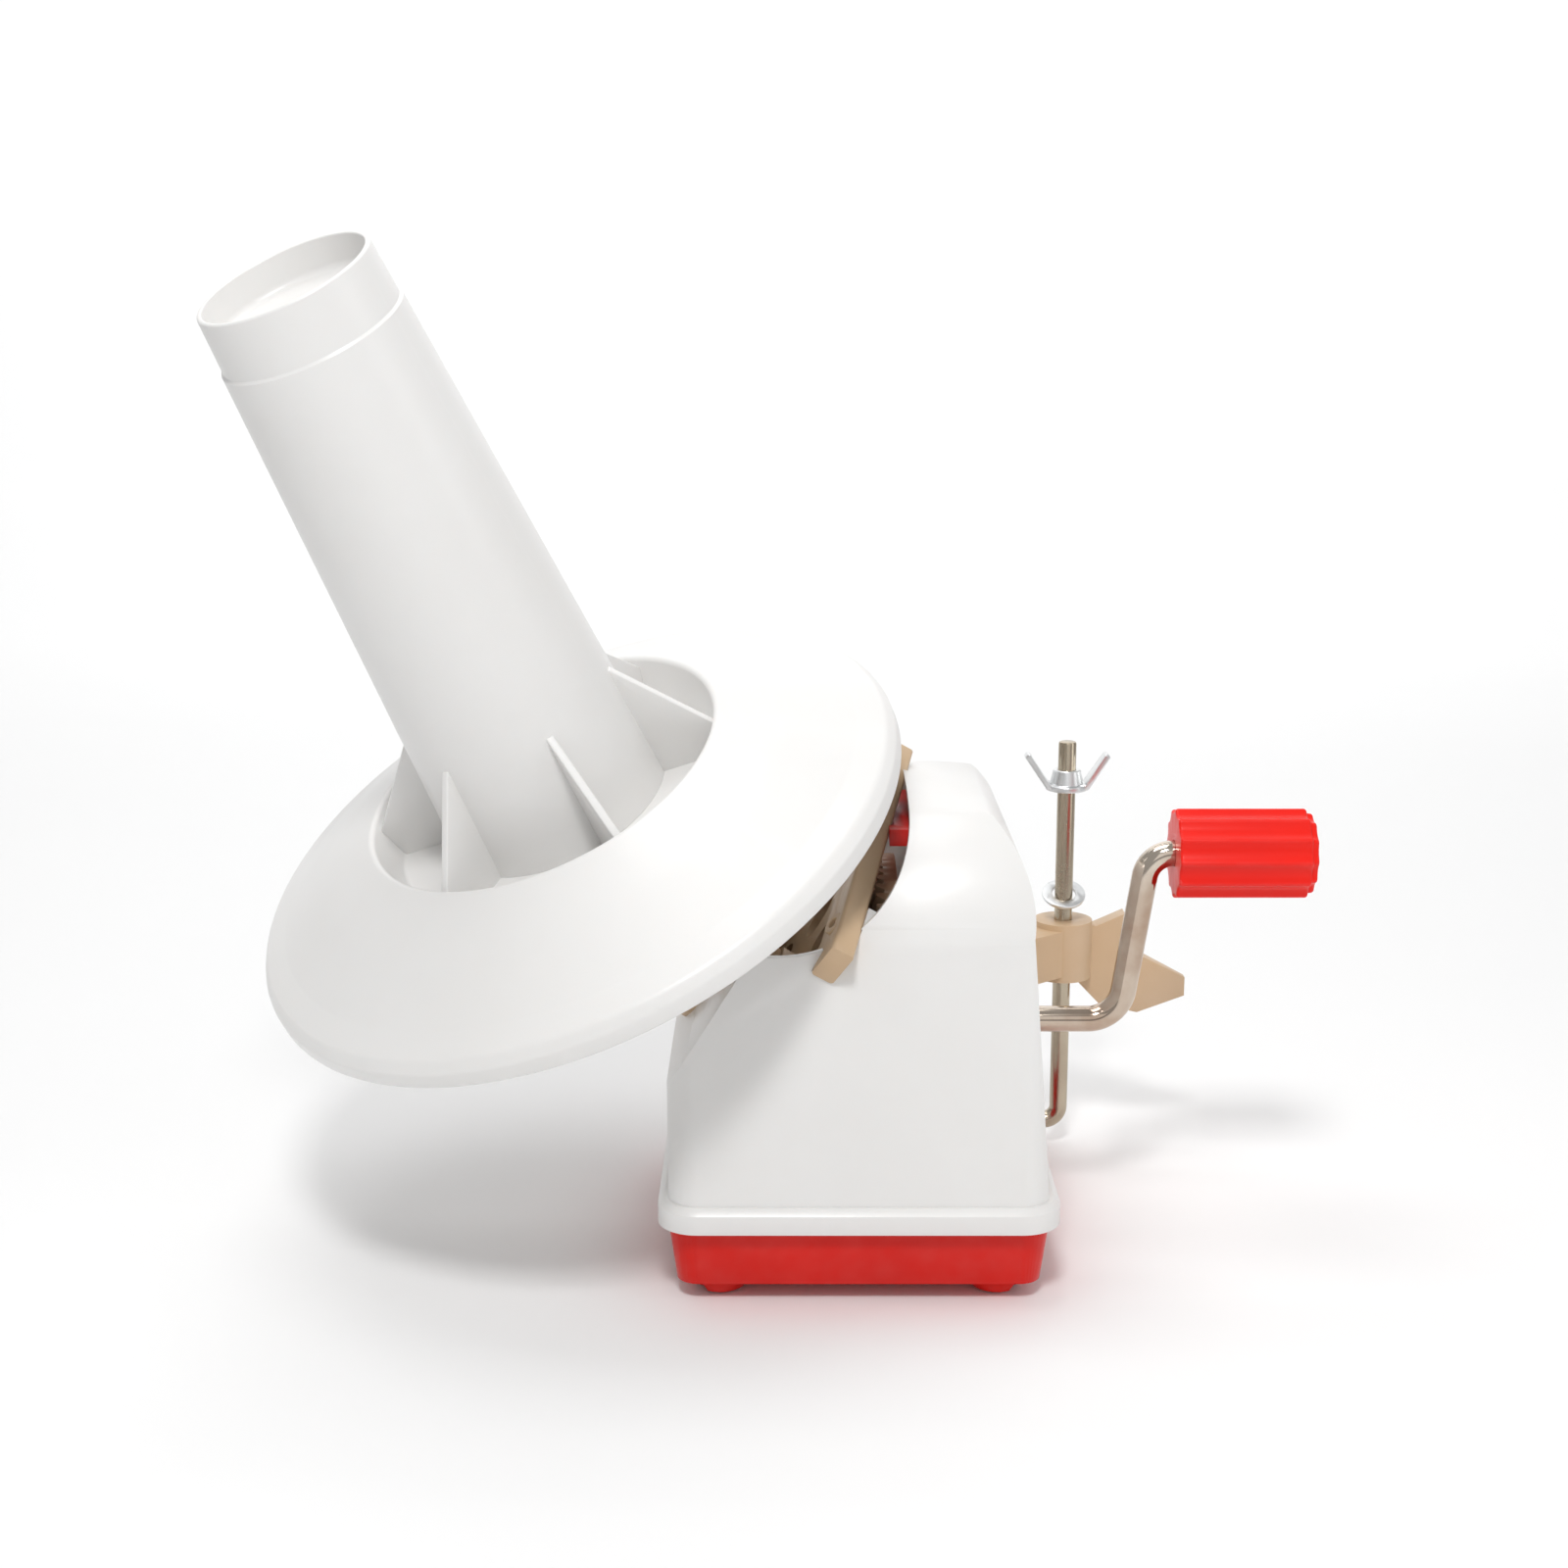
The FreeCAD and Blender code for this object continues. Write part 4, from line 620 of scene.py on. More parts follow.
def shaded(mesh: bpy.types.Mesh, angle_deg: float = SHARP_ANGLE) -> bpy.types.Mesh:
    """Shades a mesh smooth, with edges over an angle kept sharp.

    Args:
        mesh: The mesh.
        angle_deg: Angle in degrees over which an edge stays sharp.

    Returns:
        The same mesh.
    """
    mesh.polygons.foreach_set("use_smooth", [True] * len(mesh.polygons))
    mesh.set_sharp_from_angle(angle=math.radians(angle_deg))
    return mesh


def baked(source: bpy.types.Object, name: str) -> bpy.types.Mesh:
    """Plain mesh of an object with its modifiers, which are then removed with the object.

    Args:
        source: The object.
        name: The mesh's name.

    Returns:
        The mesh.
    """
    graph = bpy.context.evaluated_depsgraph_get()
    mesh = bpy.data.meshes.new_from_object(source.evaluated_get(graph), depsgraph=graph)
    mesh.name = name
    bpy.data.objects.remove(source)
    return mesh


def finished(name: str, mesh: bpy.types.Mesh, finish: Finish, body: str,
             nodes: Sequence[str]) -> bpy.types.Object:
    """Makes a mesh a piece of the winder.

    Args:
        name: The piece's name.
        mesh: Its mesh, in place in the frame.
        finish: Its finish.
        body: The body it rides on.
        nodes: Nodes of the frame that it stands for.

    Returns:
        The piece.
    """
    piece = mesh_object(name, mesh)
    mesh.materials.clear()
    mesh.materials.append(material_of(finish))
    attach(piece, body)
    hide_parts(*nodes)
    LOG.info("%s: %d faces on %s", name, len(mesh.polygons), body)
    return piece


def bevelled(mesh: bpy.types.Mesh, width: float, segments: int = 3, angle_deg: float = 30.0) -> bpy.types.Mesh:
    """Mesh with its edges over an angle rounded.

    Args:
        mesh: The mesh.
        width: Width of the rounding in metres.
        segments: Segments across it.
        angle_deg: Angle in degrees over which an edge is rounded.

    Returns:
        A new mesh under the same name.
    """
    holder = mesh_object(mesh.name + "_holder", mesh)
    bevel = holder.modifiers.new("rounding", "BEVEL")
    bevel.width = width
    bevel.segments = segments
    bevel.limit_method = "ANGLE"
    bevel.angle_limit = math.radians(angle_deg)
    return baked(holder, mesh.name)


def node_shape(node: str) -> bmesh.types.BMesh:
    """Copy of a node's mesh with its doubled points merged.

    Args:
        node: The node of the frame.

    Returns:
        The copy, to be freed by the caller.
    """
    shape = bmesh.new()
    shape.from_mesh(frame["nodes"][node].data)
    bmesh.ops.remove_doubles(shape, verts=shape.verts, dist=MERGE_DISTANCE)
    return shape


def eased_copy(node: str, edge: float, angle_deg: float = SHARP_ANGLE) -> bpy.types.Mesh:
    """Merged copy of a node's mesh with its sharp edges eased.

    Args:
        node: The node of the frame.
        edge: Width of the eased edge.
        angle_deg: Angle over which an edge counts as sharp.

    Returns:
        The mesh.
    """
    shape = node_shape(node)
    bmesh.ops.dissolve_limit(shape, angle_limit=math.radians(FLAT_ANGLE), verts=shape.verts, edges=shape.edges)
    return shaded(bevelled(mesh_of(node + "_eased", shape), edge, 2, angle_deg), angle_deg)


class GeometryTree(TreeMaker):
    """Geometry node tree with named inputs, ending in Realize Instances and Set Material."""

    def __init__(self, name: str, inputs: dict[str, tuple[str, object]]) -> None:
        """Creates the tree.

        Args:
            name: The tree's name.
            inputs: Socket types and default values by input name.
        """
        self.tree = bpy.data.node_groups.new(name, "GeometryNodeTree")
        self.tree.is_modifier = True
        self.identifiers: dict[str, str] = {}
        self.tree.interface.new_socket("Geometry", in_out="INPUT", socket_type="NodeSocketGeometry")
        for key, (kind, value) in inputs.items():
            socket = self.tree.interface.new_socket(key, in_out="INPUT", socket_type=kind)
            if value is not None:
                socket.default_value = value
            self.identifiers[key] = socket.identifier
        self.tree.interface.new_socket("Geometry", in_out="OUTPUT", socket_type="NodeSocketGeometry")
        self.source = self.tree.nodes.new("NodeGroupInput")
        self.sink = self.tree.nodes.new("NodeGroupOutput")

    def close(self, geometry: bpy.types.NodeSocket, finish: Finish) -> None:
        """Ends the tree with real geometry in a finish.

        Args:
            geometry: The geometry that the tree has made.
            finish: Its finish.
        """
        real = self.node("GeometryNodeRealizeInstances", Geometry=geometry)
        dressed = self.node("GeometryNodeSetMaterial", Geometry=real.outputs[0], Material=material_of(finish))
        self.tree.links.new(dressed.outputs[0], self.sink.inputs[0])

    def run(self, name: str, base: bpy.types.Mesh, **values: object) -> bpy.types.Mesh:
        """Runs the tree on a base mesh.

        Args:
            name: Name of the resulting mesh.
            base: Mesh that the tree starts from.
            **values: Values for the named inputs, with underscores for spaces.

        Returns:
            The plain mesh.
        """
        holder = mesh_object(name + "_holder", base)
        modifier = holder.modifiers.new("tree", "NODES")
        modifier.node_group = self.tree
        for key, value in values.items():
            modifier[self.identifiers[key.replace("_", " ")]] = value
        return baked(holder, name)


def ring_tree(finish: Finish) -> GeometryTree:
    """Tree that stands copies of one piece evenly round local Z and joins them to the base.

    Args:
        finish: Finish of the result.

    Returns:
        The tree, with inputs Rib, Count and Start.
    """
    made = GeometryTree("ring_of_ribs", {"Rib": ("NodeSocketObject", None), "Count": ("NodeSocketInt", 6),
                                         "Start": ("NodeSocketFloat", 0.0)})
    source = made.source.outputs
    points = made.node("GeometryNodePoints", Count=source["Count"])
    index = made.tree.nodes.new("GeometryNodeInputIndex").outputs[0]
    step = made.maths("DIVIDE", TURN, source["Count"])
    angle = made.maths("MULTIPLY", made.maths("ADD", index, source["Start"]), step)
    turn = made.node("ShaderNodeCombineXYZ", Z=angle)
    rib = made.node("GeometryNodeObjectInfo", Object=source["Rib"])
    copies = made.node("GeometryNodeInstanceOnPoints", Points=points.outputs[0], Instance=rib.outputs["Geometry"],
                       Rotation=turn.outputs[0])
    joined = made.node("GeometryNodeJoinGeometry", Geometry=copies.outputs[0])
    made.tree.links.new(source["Geometry"], joined.inputs[0])
    made.close(joined.outputs[0], finish)
    return made


def fastener_tree(finish: Finish) -> GeometryTree:
    """Tree that sets a fastener at each point of the base, turned by a seeded random angle.

    Args:
        finish: Finish of the result.

    Returns:
        The tree, with inputs Fastener and Seed.
    """
    made = GeometryTree("set_fasteners", {"Fastener": ("NodeSocketObject", None), "Seed": ("NodeSocketInt", 1)})
    source = made.source.outputs
    spin = made.tree.nodes.new("FunctionNodeRandomValue")
    spin.data_type = "FLOAT"
    limits = [socket for socket in spin.inputs if socket.name == "Max" and socket.type == "VALUE"]
    limits[0].default_value = math.pi
    feed(made.tree, spin.inputs["Seed"], source["Seed"])
    value = next(socket for socket in spin.outputs if socket.type == "VALUE")
    turn = made.node("ShaderNodeCombineXYZ", Z=value)
    piece = made.node("GeometryNodeObjectInfo", Object=source["Fastener"])
    copies = made.node("GeometryNodeInstanceOnPoints", Points=source["Geometry"],
                       Instance=piece.outputs["Geometry"], Rotation=turn.outputs[0])
    made.close(copies.outputs[0], finish)
    return made


def flute_tree(finish: Finish) -> GeometryTree:
    """Tree that presses wide flutes into a piece turned about local Z.

    Args:
        finish: Finish of the result.

    Returns:
        The tree, with inputs Flutes, Depth, Inner and Outer.
    """
    made = GeometryTree("pressed_flutes", {
        "Flutes": ("NodeSocketInt", 12), "Depth": ("NodeSocketFloat", 0.0013),
        "Inner": ("NodeSocketFloat", 0.007), "Outer": ("NodeSocketFloat", 0.0135)})
    source = made.source.outputs
    place = made.tree.nodes.new("GeometryNodeInputPosition").outputs[0]
    split = made.node("ShaderNodeSeparateXYZ", Vector=place).outputs
    angle = made.maths("ARCTAN2", split["Y"], split["X"])
    turn = made.maths("MULTIPLY", angle, made.maths("DIVIDE", source["Flutes"], TURN))
    across = made.maths("MULTIPLY_ADD", made.maths("FRACT", turn), 2.0, -1.0)
    hollow = made.maths("MULTIPLY_ADD", made.maths("MULTIPLY", across, across), -1.28, 1.0)
    hollow = made.maths("MAXIMUM", hollow, 0.0)
    flat = made.node("ShaderNodeCombineXYZ", X=split["X"], Y=split["Y"])
    radius = made.tree.nodes.new("ShaderNodeVectorMath")
    radius.operation = "LENGTH"
    made.tree.links.new(flat.outputs[0], radius.inputs[0])
    fade = made.node("ShaderNodeMapRange", Value=radius.outputs["Value"], From_Min=source["Inner"],
                     From_Max=source["Outer"])
    fade.interpolation_type = "SMOOTHSTEP"
    press = made.maths("MULTIPLY", made.maths("MULTIPLY", hollow, fade.outputs[0]), source["Depth"])
    share = made.maths("SUBTRACT", 1.0, made.maths("DIVIDE", press, source["Outer"]))
    moved = made.node("ShaderNodeCombineXYZ", X=made.maths("MULTIPLY", split["X"], share),
                      Y=made.maths("MULTIPLY", split["Y"], share), Z=split["Z"])
    pressed = made.node("GeometryNodeSetPosition", Geometry=source["Geometry"], Position=moved.outputs[0])
    made.close(pressed.outputs[0], finish)
    return made


def outline_mm(corners: Sequence[Corner]) -> list[Point]:
    """Rounded outline from corners in millimetres."""
    return rounded([(x * MM, y * MM, radius * MM) for x, y, radius in corners])


def prism_mesh(name: str, outline: Sequence[Point], near: float, far: float) -> bpy.types.Mesh:
    """Mesh of an outline in local XZ drawn out along Y.

    Args:
        name: The mesh's name.
        outline: Points as (x, z).
        near: Y of the near face.
        far: Y of the far face.

    Returns:
        The closed mesh.
    """
    shape = bmesh.new()
    loops = [[shape.verts.new((x, y, z)) for x, z in outline] for y in (near, far)]
    shape.faces.new(loops[0])
    shape.faces.new(list(reversed(loops[1])))
    count = len(outline)
    for index in range(count):
        after = (index + 1) % count
        shape.faces.new((loops[0][index], loops[1][index], loops[1][after], loops[0][after]))
    bmesh.ops.recalc_face_normals(shape, faces=shape.faces)
    return mesh_of(name, shape)


def merged(name: str, meshes: Sequence[bpy.types.Mesh]) -> bpy.types.Mesh:
    """One mesh of several.

    Args:
        name: The mesh's name.
        meshes: The meshes, in order.

    Returns:
        The joined mesh.
    """
    shape = bmesh.new()
    for mesh in meshes:
        shape.from_mesh(mesh)
    return mesh_of(name, shape)


def islands(node: str) -> list[list[Vector]]:
    """Vertices of each separate solid of a node, in an order that is the same in each run.

    Args:
        node: The node of the frame.

    Returns:
        A list of points for each solid.
    """
    shape = node_shape(node)
    found = set()
    groups = []
    for first in shape.verts:
        if first in found:
            continue
        found.add(first)
        front = [first]
        group = []
        while front:
            vertex = front.pop()
            group.append(vertex.co.copy())
            for edge in vertex.link_edges:
                other = edge.other_vert(vertex)
                if other not in found:
                    found.add(other)
                    front.append(other)
        groups.append(group)
    shape.free()
    return groups


def end_centre(points: Sequence[Vector], direction: Vector) -> Vector:
    """Centre of the face of a solid that lies furthest along a direction.

    Args:
        points: Points of the solid.
        direction: The direction.

    Returns:
        The face's centre.
    """
    reach = max(point.dot(direction) for point in points)
    rim = [point for point in points if reach - point.dot(direction) < RIM_DEPTH]
    return sum(rim, Vector()) / len(rim)


def body_of_node(node: str) -> str:
    """Body of the frame that a node belongs to."""
    bodies = frame["record"]["behaviour"]["bodies"]
    return next(body for body, nodes in bodies.items() if node in nodes)


@dataclass(frozen=True)
class Eased:
    """A node that keeps its own shape, with eased edges and a finish.

    Attributes:
        node: The node's name.
        finish: Its finish.
        edge: Width of its eased edges in millimetres.
        angle: Angle in degrees over which an edge counts as sharp.
    """

    node: str
    finish: Finish
    edge: float = 0.3
    angle: float = SHARP_ANGLE

    def build(self) -> bpy.types.Object:
        """Builds the piece that stands for the node, and returns it."""
        mesh = eased_copy(self.node, self.edge * MM, self.angle)
        return finished(self.node + "_look", mesh, self.finish, body_of_node(self.node), [self.node])


def screw_mesh(head: float, height: float, shank: float, length: float) -> bpy.types.Mesh:
    """Pan-head screw along local -Z with a cross recess, its head's top at the origin.

    Args:
        head: Radius of the head.
        height: Height of the head.
        shank: Radius of the shank.
        length: Length of the whole screw.

    Returns:
        The mesh.
    """
    dish = [(0.0, -height * 0.45, 0.0), (head * 0.12, -height * 0.45, 0.0), (head * 0.34, 0.0, head * 0.05),
            (head * 0.62, 0.0, head * 0.2), (head, -height * 0.45, head * 0.3), (head, -height, head * 0.05),
            (shank, -height, 0.0), (shank, -length, 0.0), (0.0, -length, 0.0)]
    mesh = revolve("screw_body", rounded(dish, 3), 32)
    slots = []
    for turn in (0.0, math.pi / 2):
        groove = prism_mesh("slot", [(-head * 0.5, 0.0001), (head * 0.5, 0.0001), (head * 0.2, -height * 0.5),
                                     (-head * 0.2, -height * 0.5)], -head * 0.09, head * 0.09)
        groove.transform(Matrix.Rotation(turn, 4, "Z"))
        slots.append(groove)
    holder = mesh_object("screw_holder", mesh)
    cutters = [mesh_object("slot_cutter", groove) for groove in slots]
    for cutter in cutters:
        cut = holder.modifiers.new("slot", "BOOLEAN")
        cut.operation = "DIFFERENCE"
        cut.solver = "EXACT"
        cut.object = cutter
    result = baked(holder, "screw")
    for cutter in cutters:
        bpy.data.objects.remove(cutter)
    return result


@dataclass(frozen=True)
class ScrewSet:
    """Identical screws of one node, set by a geometry tree.

    Attributes:
        node: The node's name.
        direction: Unit direction that the heads face.
        seed: Seed of the angles that their recesses stop at.
        head: Radius of the head in millimetres.
        height: Height of the head in millimetres.
        shank: Radius of the shank in millimetres.
    """

    node: str
    direction: Vector
    seed: int
    head: float = 3.0
    height: float = 1.8
    shank: float = 1.5

    def build(self) -> bpy.types.Object:
        """Builds the screws.

        Returns:
            The piece that stands for the node.
        """
        groups = islands(self.node)
        tops = [end_centre(group, self.direction) for group in groups]
        lows = [end_centre(group, -self.direction) for group in groups]
        length = (tops[0] - lows[0]).length
        placing = Axis(tops[0], self.direction).placing(self.direction.orthogonal())
        points = bpy.data.meshes.new(self.node + "_points")
        points.from_pydata([placing.inverted() @ top for top in tops], [], [])
        screw = screw_mesh(self.head * MM, self.height * MM, self.shank * MM, length)
        source = mesh_object("screw_source", screw)
        mesh = fastener_tree(Finish.ZINC).run(self.node + "_set", points, Fastener=source, Seed=self.seed)
        bpy.data.objects.remove(source)
        mesh.transform(placing)
        return finished(self.node + "_look", shaded(mesh), Finish.ZINC, body_of_node(self.node), [self.node])


@dataclass(frozen=True)
class Bobbin:
    """Leaning disc and tower that the yarn winds on.

    Attributes:
        segments: Steps round the turned pieces.
        rib_count: Ribs between the tower and the well.
        rib_start: Place of the first rib, in steps from the side that faces the viewer.
        rib_thickness: Thickness of a rib in millimetres.
        gear: The driven gear.
    """

    segments: int = 288
    rib_count: int = 6
    rib_start: float = 0.37
    rib_thickness: float = 2.4
    gear: Eased = Eased("bobbin_gear", Finish.TAN_GEAR, 0.2, 25.0)

    def build(self) -> None:
        """Builds the flange, the tower, the gear and the screws."""
        placing = BOBBIN_AXIS.placing(-BACK)
        self.build_flange(placing)
        self.build_tower(placing)
        self.gear.build()
        ScrewSet("bobbin_screws", BOBBIN_AXIS.direction, 5).build()

    def build_flange(self, placing: Matrix) -> None:
        """Builds the conical disc with its soft turned-down rim, skirt and well.

        Args:
            placing: Matrix of the bobbin's axis.
        """
        corners = [(4.06, 19.1, 0), (37.2, 19.1, 0.8), (37.2, 29.4, 1.0), (52.6, 29.4, 1.0), (57.2, 42.6, 1.5),
                   (74.0, 34.6, 60.0), (92.2, 24.0, 1.0), (92.2, 13.0, 0.4), (94.0, 13.0, 0.6),
                   (94.0, 23.4, 0.8), (99.4, 21.0, 1.5), (100.8, 15.5, 0.7), (102.98, 15.5, 0.9),
                   (102.98, 20.5, 2.4), (101.0, 23.8, 3.5), (93.0, 27.2, 12.0), (74.0, 37.4, 60.0),
                   (55.0, 46.0, 1.6), (50.9, 32.0, 1.3), (34.05, 32.0, 0), (34.55, 21.5, 0),
                   (9.0, 21.5, 1.2), (9.0, 48.0, 0.8), (4.06, 48.0, 0)]
        mesh = shaded(revolve("flange", outline_mm(corners), self.segments))
        mesh.transform(placing)
        finished("bobbin_flange_look", mesh, Finish.WHITE_SHELL, body_of_node("bobbin_flange"), ["bobbin_flange"])

    def build_tower(self, placing: Matrix) -> None:
        """Builds the tower with its collar, recessed top and ribs.

        Args:
            placing: Matrix of the bobbin's axis.
        """
        corners = [(34.5, 21.5, 0), (26.3, 192.3, 0.35), (25.6, 193.0, 0.3), (24.8, 208.95, 1.0),
                   (23.3, 208.95, 0.45), (23.27, 199.5, 2.2), (0.0, 199.5, 0), (0.0, 192.8, 0),
                   (23.27, 192.8, 0.5), (24.6, 180.0, 0), (32.3, 21.5, 0)]
        tower = revolve("tower", outline_mm(corners), self.segments)
        half = self.rib_thickness / 2 * MM
        rib_corners = [(32.6, 31.5, 0), (50.9, 31.5, 0), (54.2, 42.5, 1.2), (32.5, 70.0, 0.9), (31.0, 70.0, 0)]
        rib = bevelled(prism_mesh("rib", outline_mm(rib_corners), -half, half), 0.45 * MM)
        source = mesh_object("rib_source", rib)
        mesh = ring_tree(Finish.WHITE_SHELL).run("tower_ribbed", tower, Rib=source, Count=self.rib_count,
                                                 Start=self.rib_start)
        bpy.data.objects.remove(source)
        mesh.transform(placing)
        finished("bobbin_tower_look", shaded(mesh), Finish.WHITE_SHELL, body_of_node("bobbin_tower"),
                 ["bobbin_tower"])


@dataclass(frozen=True)
class Housing:
    """Red base, white shell, inner chassis and the pieces that the shell holds."""

    pieces: tuple[Eased, ...] = (
        Eased("base_shell", Finish.RED_SHELL, 0.8), Eased("housing_shell", Finish.WHITE_SHELL, 0.7),
        Eased("chassis", Finish.RED_SHELL, 0.5), Eased("bar_pin", Finish.ZINC, 0.2),
        Eased("rotor_bearing", Finish.TAN_GEAR, 0.4), Eased("rotor_bushing", Finish.BRONZE, 0.15),
        Eased("crank_bushing_inner", Finish.BRONZE, 0.15), Eased("crank_bushing_outer", Finish.BRONZE, 0.15))
    bar_boss_radius: float = 3.6
    bar_hole_radius: float = 1.65
    bar_boss_sink: float = 0.8
    bar_boss_rise: float = 0.7

    def build(self) -> None:
        """Builds the shells, the bar and the screws."""
        for piece in self.pieces:
            piece.build()
        self.build_bar()
        ScrewSet("base_screws", -UP, 11).build()
        ScrewSet("chassis_screws", UP, 12).build()
        ScrewSet("bearing_screws", ROTOR_AXIS.direction, 13).build()

    def build_bar(self) -> None:
        """Builds the tan bar with the raised boss round its pin."""
        points = islands("bar_pin")[0]
        middle = sum(points, Vector()) / len(points)
        outer = max(points, key=lambda point: (point - middle).length)
        rough = (outer - middle).normalized()
        outward = rough if rough.x < 0 else -rough
        outward = (end_centre(points, outward) - end_centre(points, -outward)).normalized()
        sink, rise = self.bar_boss_sink, self.bar_boss_rise
        face = end_centre(points, outward) + outward * sink * MM
        ring = [(self.bar_hole_radius, -sink, 0), (self.bar_boss_radius, -sink, 0),
                (self.bar_boss_radius, rise, 0.5), (self.bar_hole_radius, rise, 0.3)]
        boss = revolve("bar_boss", outline_mm(ring), 64)
        boss.transform(Axis(face, outward).placing(UP))
        mesh = merged("bar", [eased_copy("gear_guard_bar", 0.7 * MM), boss])
        finished("gear_guard_bar_look", shaded(mesh), Finish.TAN_GEAR, body_of_node("gear_guard_bar"),
                 ["gear_guard_bar"])


@dataclass(frozen=True)
class GearTrain:
    """Rotor shaft, its gears, the fixed gear and the inclined spindle."""

    pieces: tuple[Eased, ...] = (
        Eased("sun_gear", Finish.TAN_GEAR, 0.2, 25.0), Eased("rotor_gear", Finish.TAN_GEAR, 0.2, 25.0),
        Eased("rotor_elbow", Finish.ZINC, 0.2), Eased("rotor_shaft", Finish.CHAMPAGNE_ROD, 0.4),
        Eased("rotor_gear_grub", Finish.ZINC, 0.1), Eased("shaft_ring", Finish.ZINC, 0.2),
        Eased("bobbin_spindle", Finish.CHAMPAGNE_ROD, 0.3), Eased("thrust_washer", Finish.BRONZE, 0.15),
        Eased("spindle_nut", Finish.ZINC, 0.4))

    def build(self) -> None:
        """Builds the pieces."""
        for piece in self.pieces:
            piece.build()


@dataclass(frozen=True)
class Crank:
    """Bent crank rod with its gear, collar and fluted grip."""

    pieces: tuple[Eased, ...] = (
        Eased("crank_rod", Finish.CHROME_ROD, 0.4), Eased("crank_gear", Finish.TAN_GEAR, 0.2, 25.0),
        Eased("crank_gear_grub", Finish.ZINC, 0.1), Eased("crank_collar", Finish.ZINC, 0.3))
    grip_start: float = -20.5
    flutes: int = 12

    def build(self) -> None:
        """Builds the rod's pieces and the grip."""
        for piece in self.pieces:
            piece.build()
        low = self.grip_start
        corners = [(4.06, low, 0.3), (14.0, low, 0.9), (14.0, low + 39.8, 1.3), (12.6, low + 40.2, 0.2),
                   (12.4, low + 42.0, 0.9), (0.0, low + 42.0, 0), (0.0, low + 38.5, 0), (4.06, low + 38.5, 0)]
        base = revolve("grip_base", outline_mm(corners), 24 * self.flutes)
        mesh = flute_tree(Finish.RED_GRIP).run("grip_fluted", base, Flutes=self.flutes)
        mesh.transform(GRIP_AXIS.placing(UP))
        finished("handle_grip_look", shaded(mesh, 40.0), Finish.RED_GRIP, body_of_node("handle_grip"),
                 ["handle_grip"])


@dataclass(frozen=True)
class Clamp:
    """Clamp rod with its bracket, loose washer and wing nut."""

    pieces: tuple[Eased, ...] = (
        Eased("clamp_rod", Finish.CHAMPAGNE_ROD, 0.7), Eased("clamp_bracket", Finish.TAN_GEAR, 0.8),
        Eased("clamp_washer", Finish.ZINC, 0.3))
    nut_low: float = -1.0

    def build(self) -> None:
        """Builds the clamp's pieces."""
        for piece in self.pieces:
            piece.build()
        ScrewSet("bracket_screws", CRANK_AXIS.direction, 21).build()
        self.build_wing_nut()

    def build_wing_nut(self) -> None:
        """Builds the nut with its thin flange, short hub and two folded tabs."""
        low = self.nut_low
        turned = [(3.06, low, 0.2), (7.0, low, 0.4), (7.0, low + 1.9, 0.6), (5.6, low + 2.1, 0.3),
                  (4.6, low + 7.0, 0.6), (3.06, low + 7.0, 0.3)]
        meshes = [revolve("nut_hub", outline_mm(turned), 96)]
        tab = [(3.8, low + 0.3, 0), (6.9, low + 0.4, 1.5), (14.4, low + 11.4, 0.8), (12.9, low + 12.9, 0.8),
               (5.9, low + 2.4, 1.0), (3.8, low + 2.3, 0)]
        for turn in (0.0, math.pi):
            mesh = prism_mesh("nut_tab", outline_mm(tab), -4.2 * MM, 4.2 * MM)
            for vertex in mesh.vertices:
                vertex.co.y *= 1.0 - 0.45 * max(0.0, (vertex.co.x / MM - 7.0) / 7.5) ** 2
            mesh = bevelled(mesh, 0.5 * MM)
            mesh.transform(Matrix.Rotation(turn, 4, "Z"))
            meshes.append(mesh)
        mesh = merged("wing_nut", meshes)
        mesh.transform(NUT_AXIS.placing(Vector((1.0, 0.0, 0.0))))
        finished("wing_nut_look", shaded(mesh), Finish.ZINC, body_of_node("wing_nut"), ["wing_nut"])


@dataclass(frozen=True)
class SoftBox:
    """Rectangular studio light aimed at the winder.

    Attributes:
        name: The light's name.
        place: Where it stands.
        size: Width and height in metres.
        power: Power in watts.
        target: Point that it faces.
    """

    name: str
    place: Place
    size: Point
    power: float
    target: Place = (-0.03, 0.0, 0.12)

    def build(self) -> None:
        """Places the light."""
        data = bpy.data.lights.new(self.name, "AREA")
        data.shape = "RECTANGLE"
        data.size, data.size_y = self.size
        data.energy = self.power
        light = bpy.data.objects.new(self.name, data)
        light.location = self.place
        light.rotation_euler = (Vector(self.target) - light.location).to_track_quat("-Z", "Y").to_euler()
        bpy.context.scene.collection.objects.link(light)


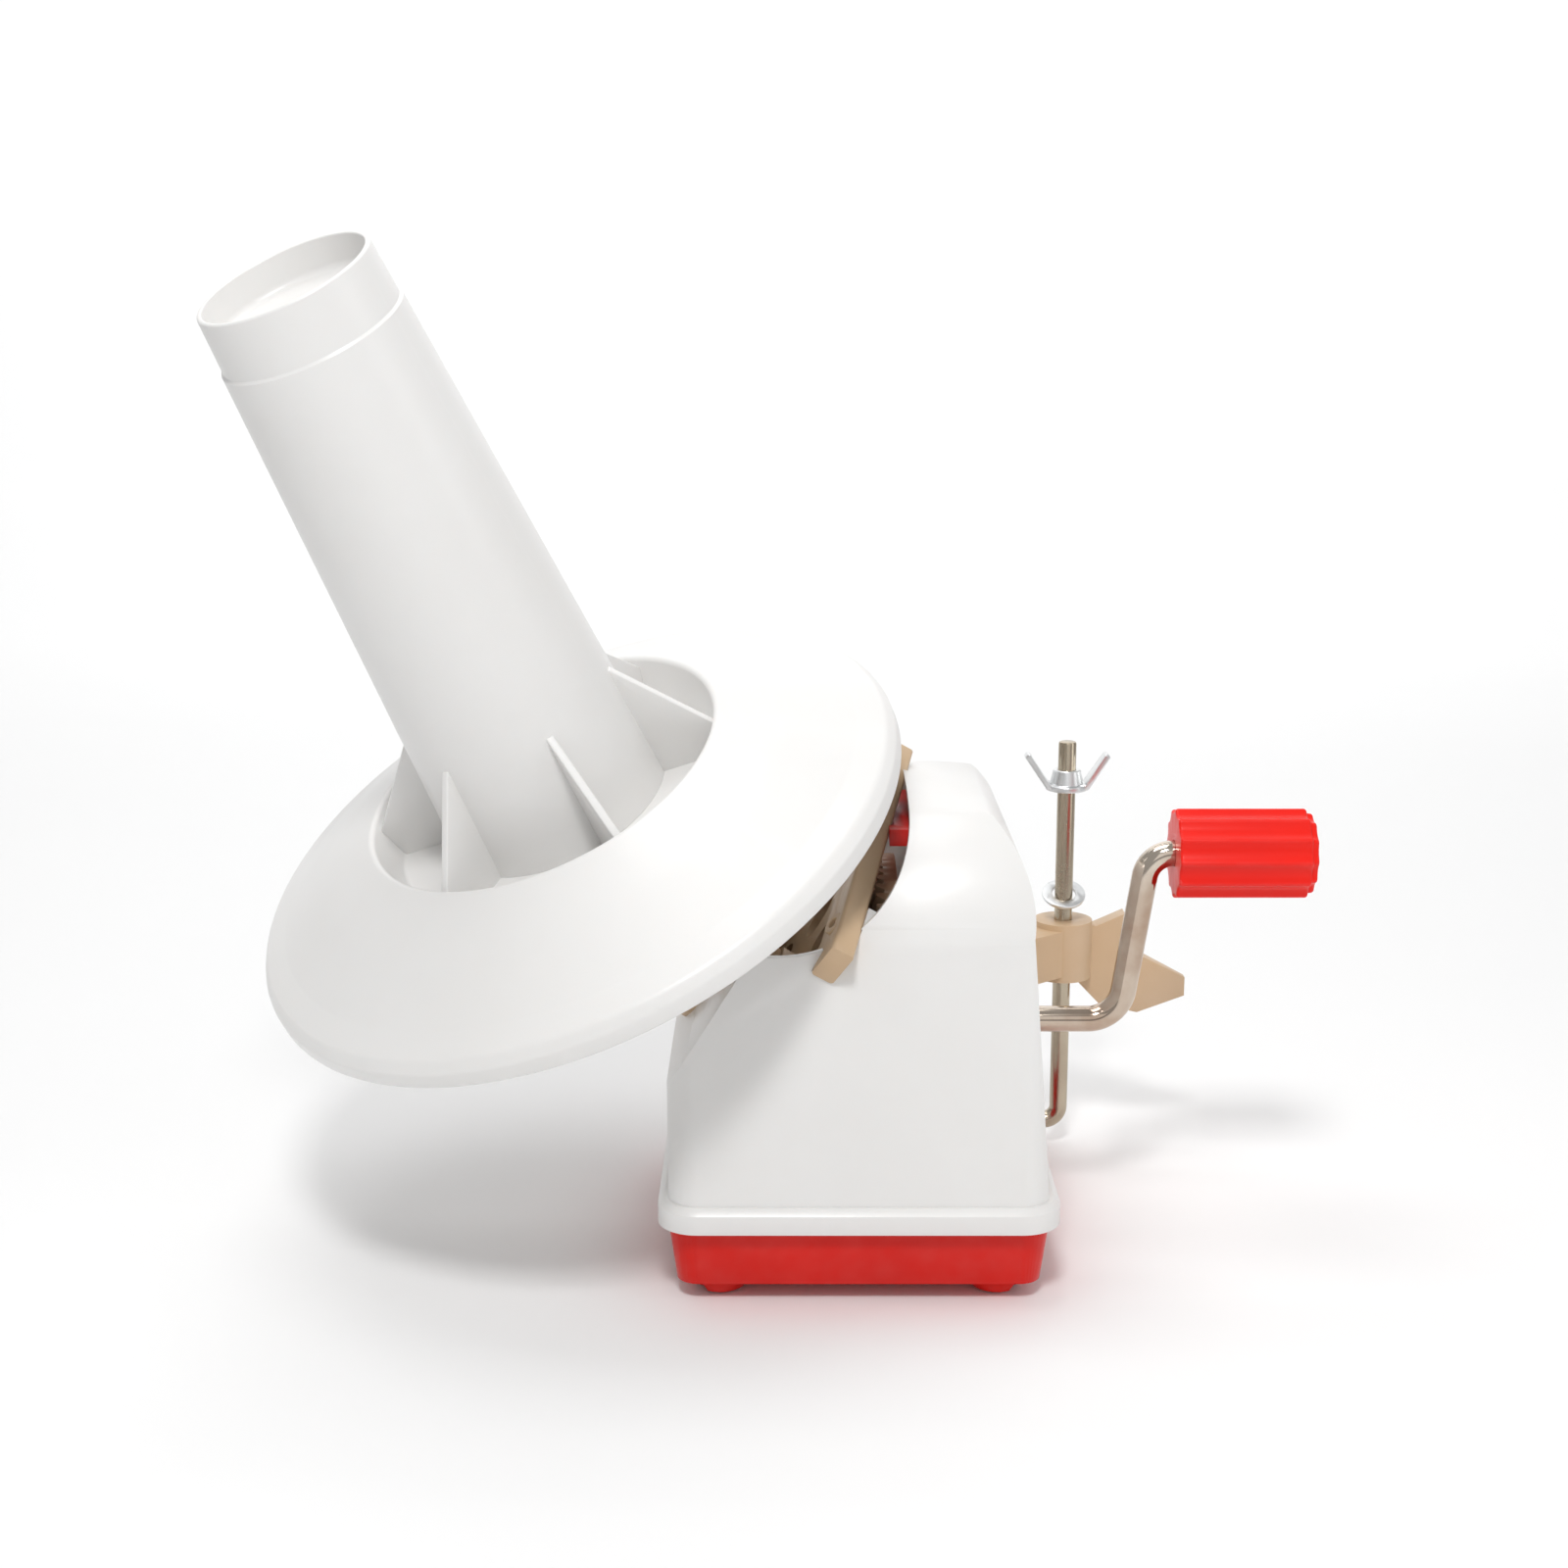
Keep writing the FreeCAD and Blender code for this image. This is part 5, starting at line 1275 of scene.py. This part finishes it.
@dataclass(frozen=True)
class Studio:
    """Pale sweep, soft lights and the camera of the photograph."""

    floor_height: float = -0.0055
    camera_place: Place = (-0.022, -0.6749, 0.2812)
    camera_pitch: float = 78.0
    lens: float = 52.0
    world_strength: float = 0.42
    sweep_front: float = -3.0
    sweep_back: float = 2.2
    sweep_top: float = 3.0
    sweep_bend: float = 1.0
    sweep_half: float = 3.5
    lights: tuple[SoftBox, ...] = (
        SoftBox("top_box", (-0.22, 0.05, 1.15), (0.55, 0.55), 3.2),
        SoftBox("key_box", (-0.08, -0.78, 1.05), (0.20, 0.20), 6.5),
        SoftBox("right_box", (0.95, -0.35, 0.5), (0.35, 0.8), 1.2),
        SoftBox("front_box", (0.25, -1.15, 0.6), (1.0, 0.6), 1.0),
        SoftBox("sweep_box", (0.0, 1.1, 1.9), (2.6, 0.8), 30.0, (0.0, 2.6, 0.7)))

    def build(self) -> None:
        """Builds the sweep, the world, the lights and the camera."""
        self.build_sweep()
        for light in self.lights:
            light.build()
        world = bpy.data.worlds.new("studio")
        world.use_nodes = True
        background = world.node_tree.nodes["Background"]
        background.inputs["Color"].default_value = (1.0, 1.0, 1.0, 1.0)
        background.inputs["Strength"].default_value = self.world_strength
        bpy.context.scene.world = world
        data = bpy.data.cameras.new("photo_view")
        data.lens = self.lens
        data.sensor_width = 36.0
        data.clip_start = 0.01
        camera = bpy.data.objects.new("photo_view", data)
        camera.location = self.camera_place
        camera.rotation_euler = (math.radians(self.camera_pitch), 0.0, 0.0)
        bpy.context.scene.collection.objects.link(camera)
        bpy.context.scene.camera = camera
        bpy.context.scene.view_settings.view_transform = "Standard"

    def build_sweep(self) -> None:
        """Builds the floor that curves up behind the winder."""
        top = (self.sweep_back, self.sweep_top)
        bend = (self.sweep_back, self.floor_height, self.sweep_bend)
        profile = rounded([(self.sweep_front, self.floor_height, 0.0), bend, (*top, 0.0)], 24)[:-1] + [top]
        mesh = bpy.data.meshes.new("sweep")
        vertices = [(x, y, z) for y, z in profile for x in (-self.sweep_half, self.sweep_half)]
        faces = [(2 * i, 2 * i + 1, 2 * i + 3, 2 * i + 2) for i in range(len(profile) - 1)]
        mesh.from_pydata(vertices, [], faces)
        maker = MaterialMaker("sweep_paper")
        skin = maker.effect(Shared.SKIN, Colour=(0.90, 0.90, 0.90, 1.0), Shade=(0.89, 0.89, 0.89, 1.0),
                            Roughness=0.75, Cloud_Scale=3.0)
        maker.set(Base_Color=skin.outputs["Colour"], Roughness=skin.outputs["Roughness"])
        mesh.materials.append(maker.material)
        mesh_object("sweep", shaded(mesh, 60.0))


def main() -> None:
    """Builds the winder's assemblies in order, then the studio."""
    logging.basicConfig(level=logging.INFO, format="%(name)s: %(message)s")
    for assembly in (Housing(), GearTrain(), Bobbin(), Crank(), Clamp(), Studio()):
        LOG.info("building %s", type(assembly).__name__)
        assembly.build()


if __name__ == "__main__":
    main()
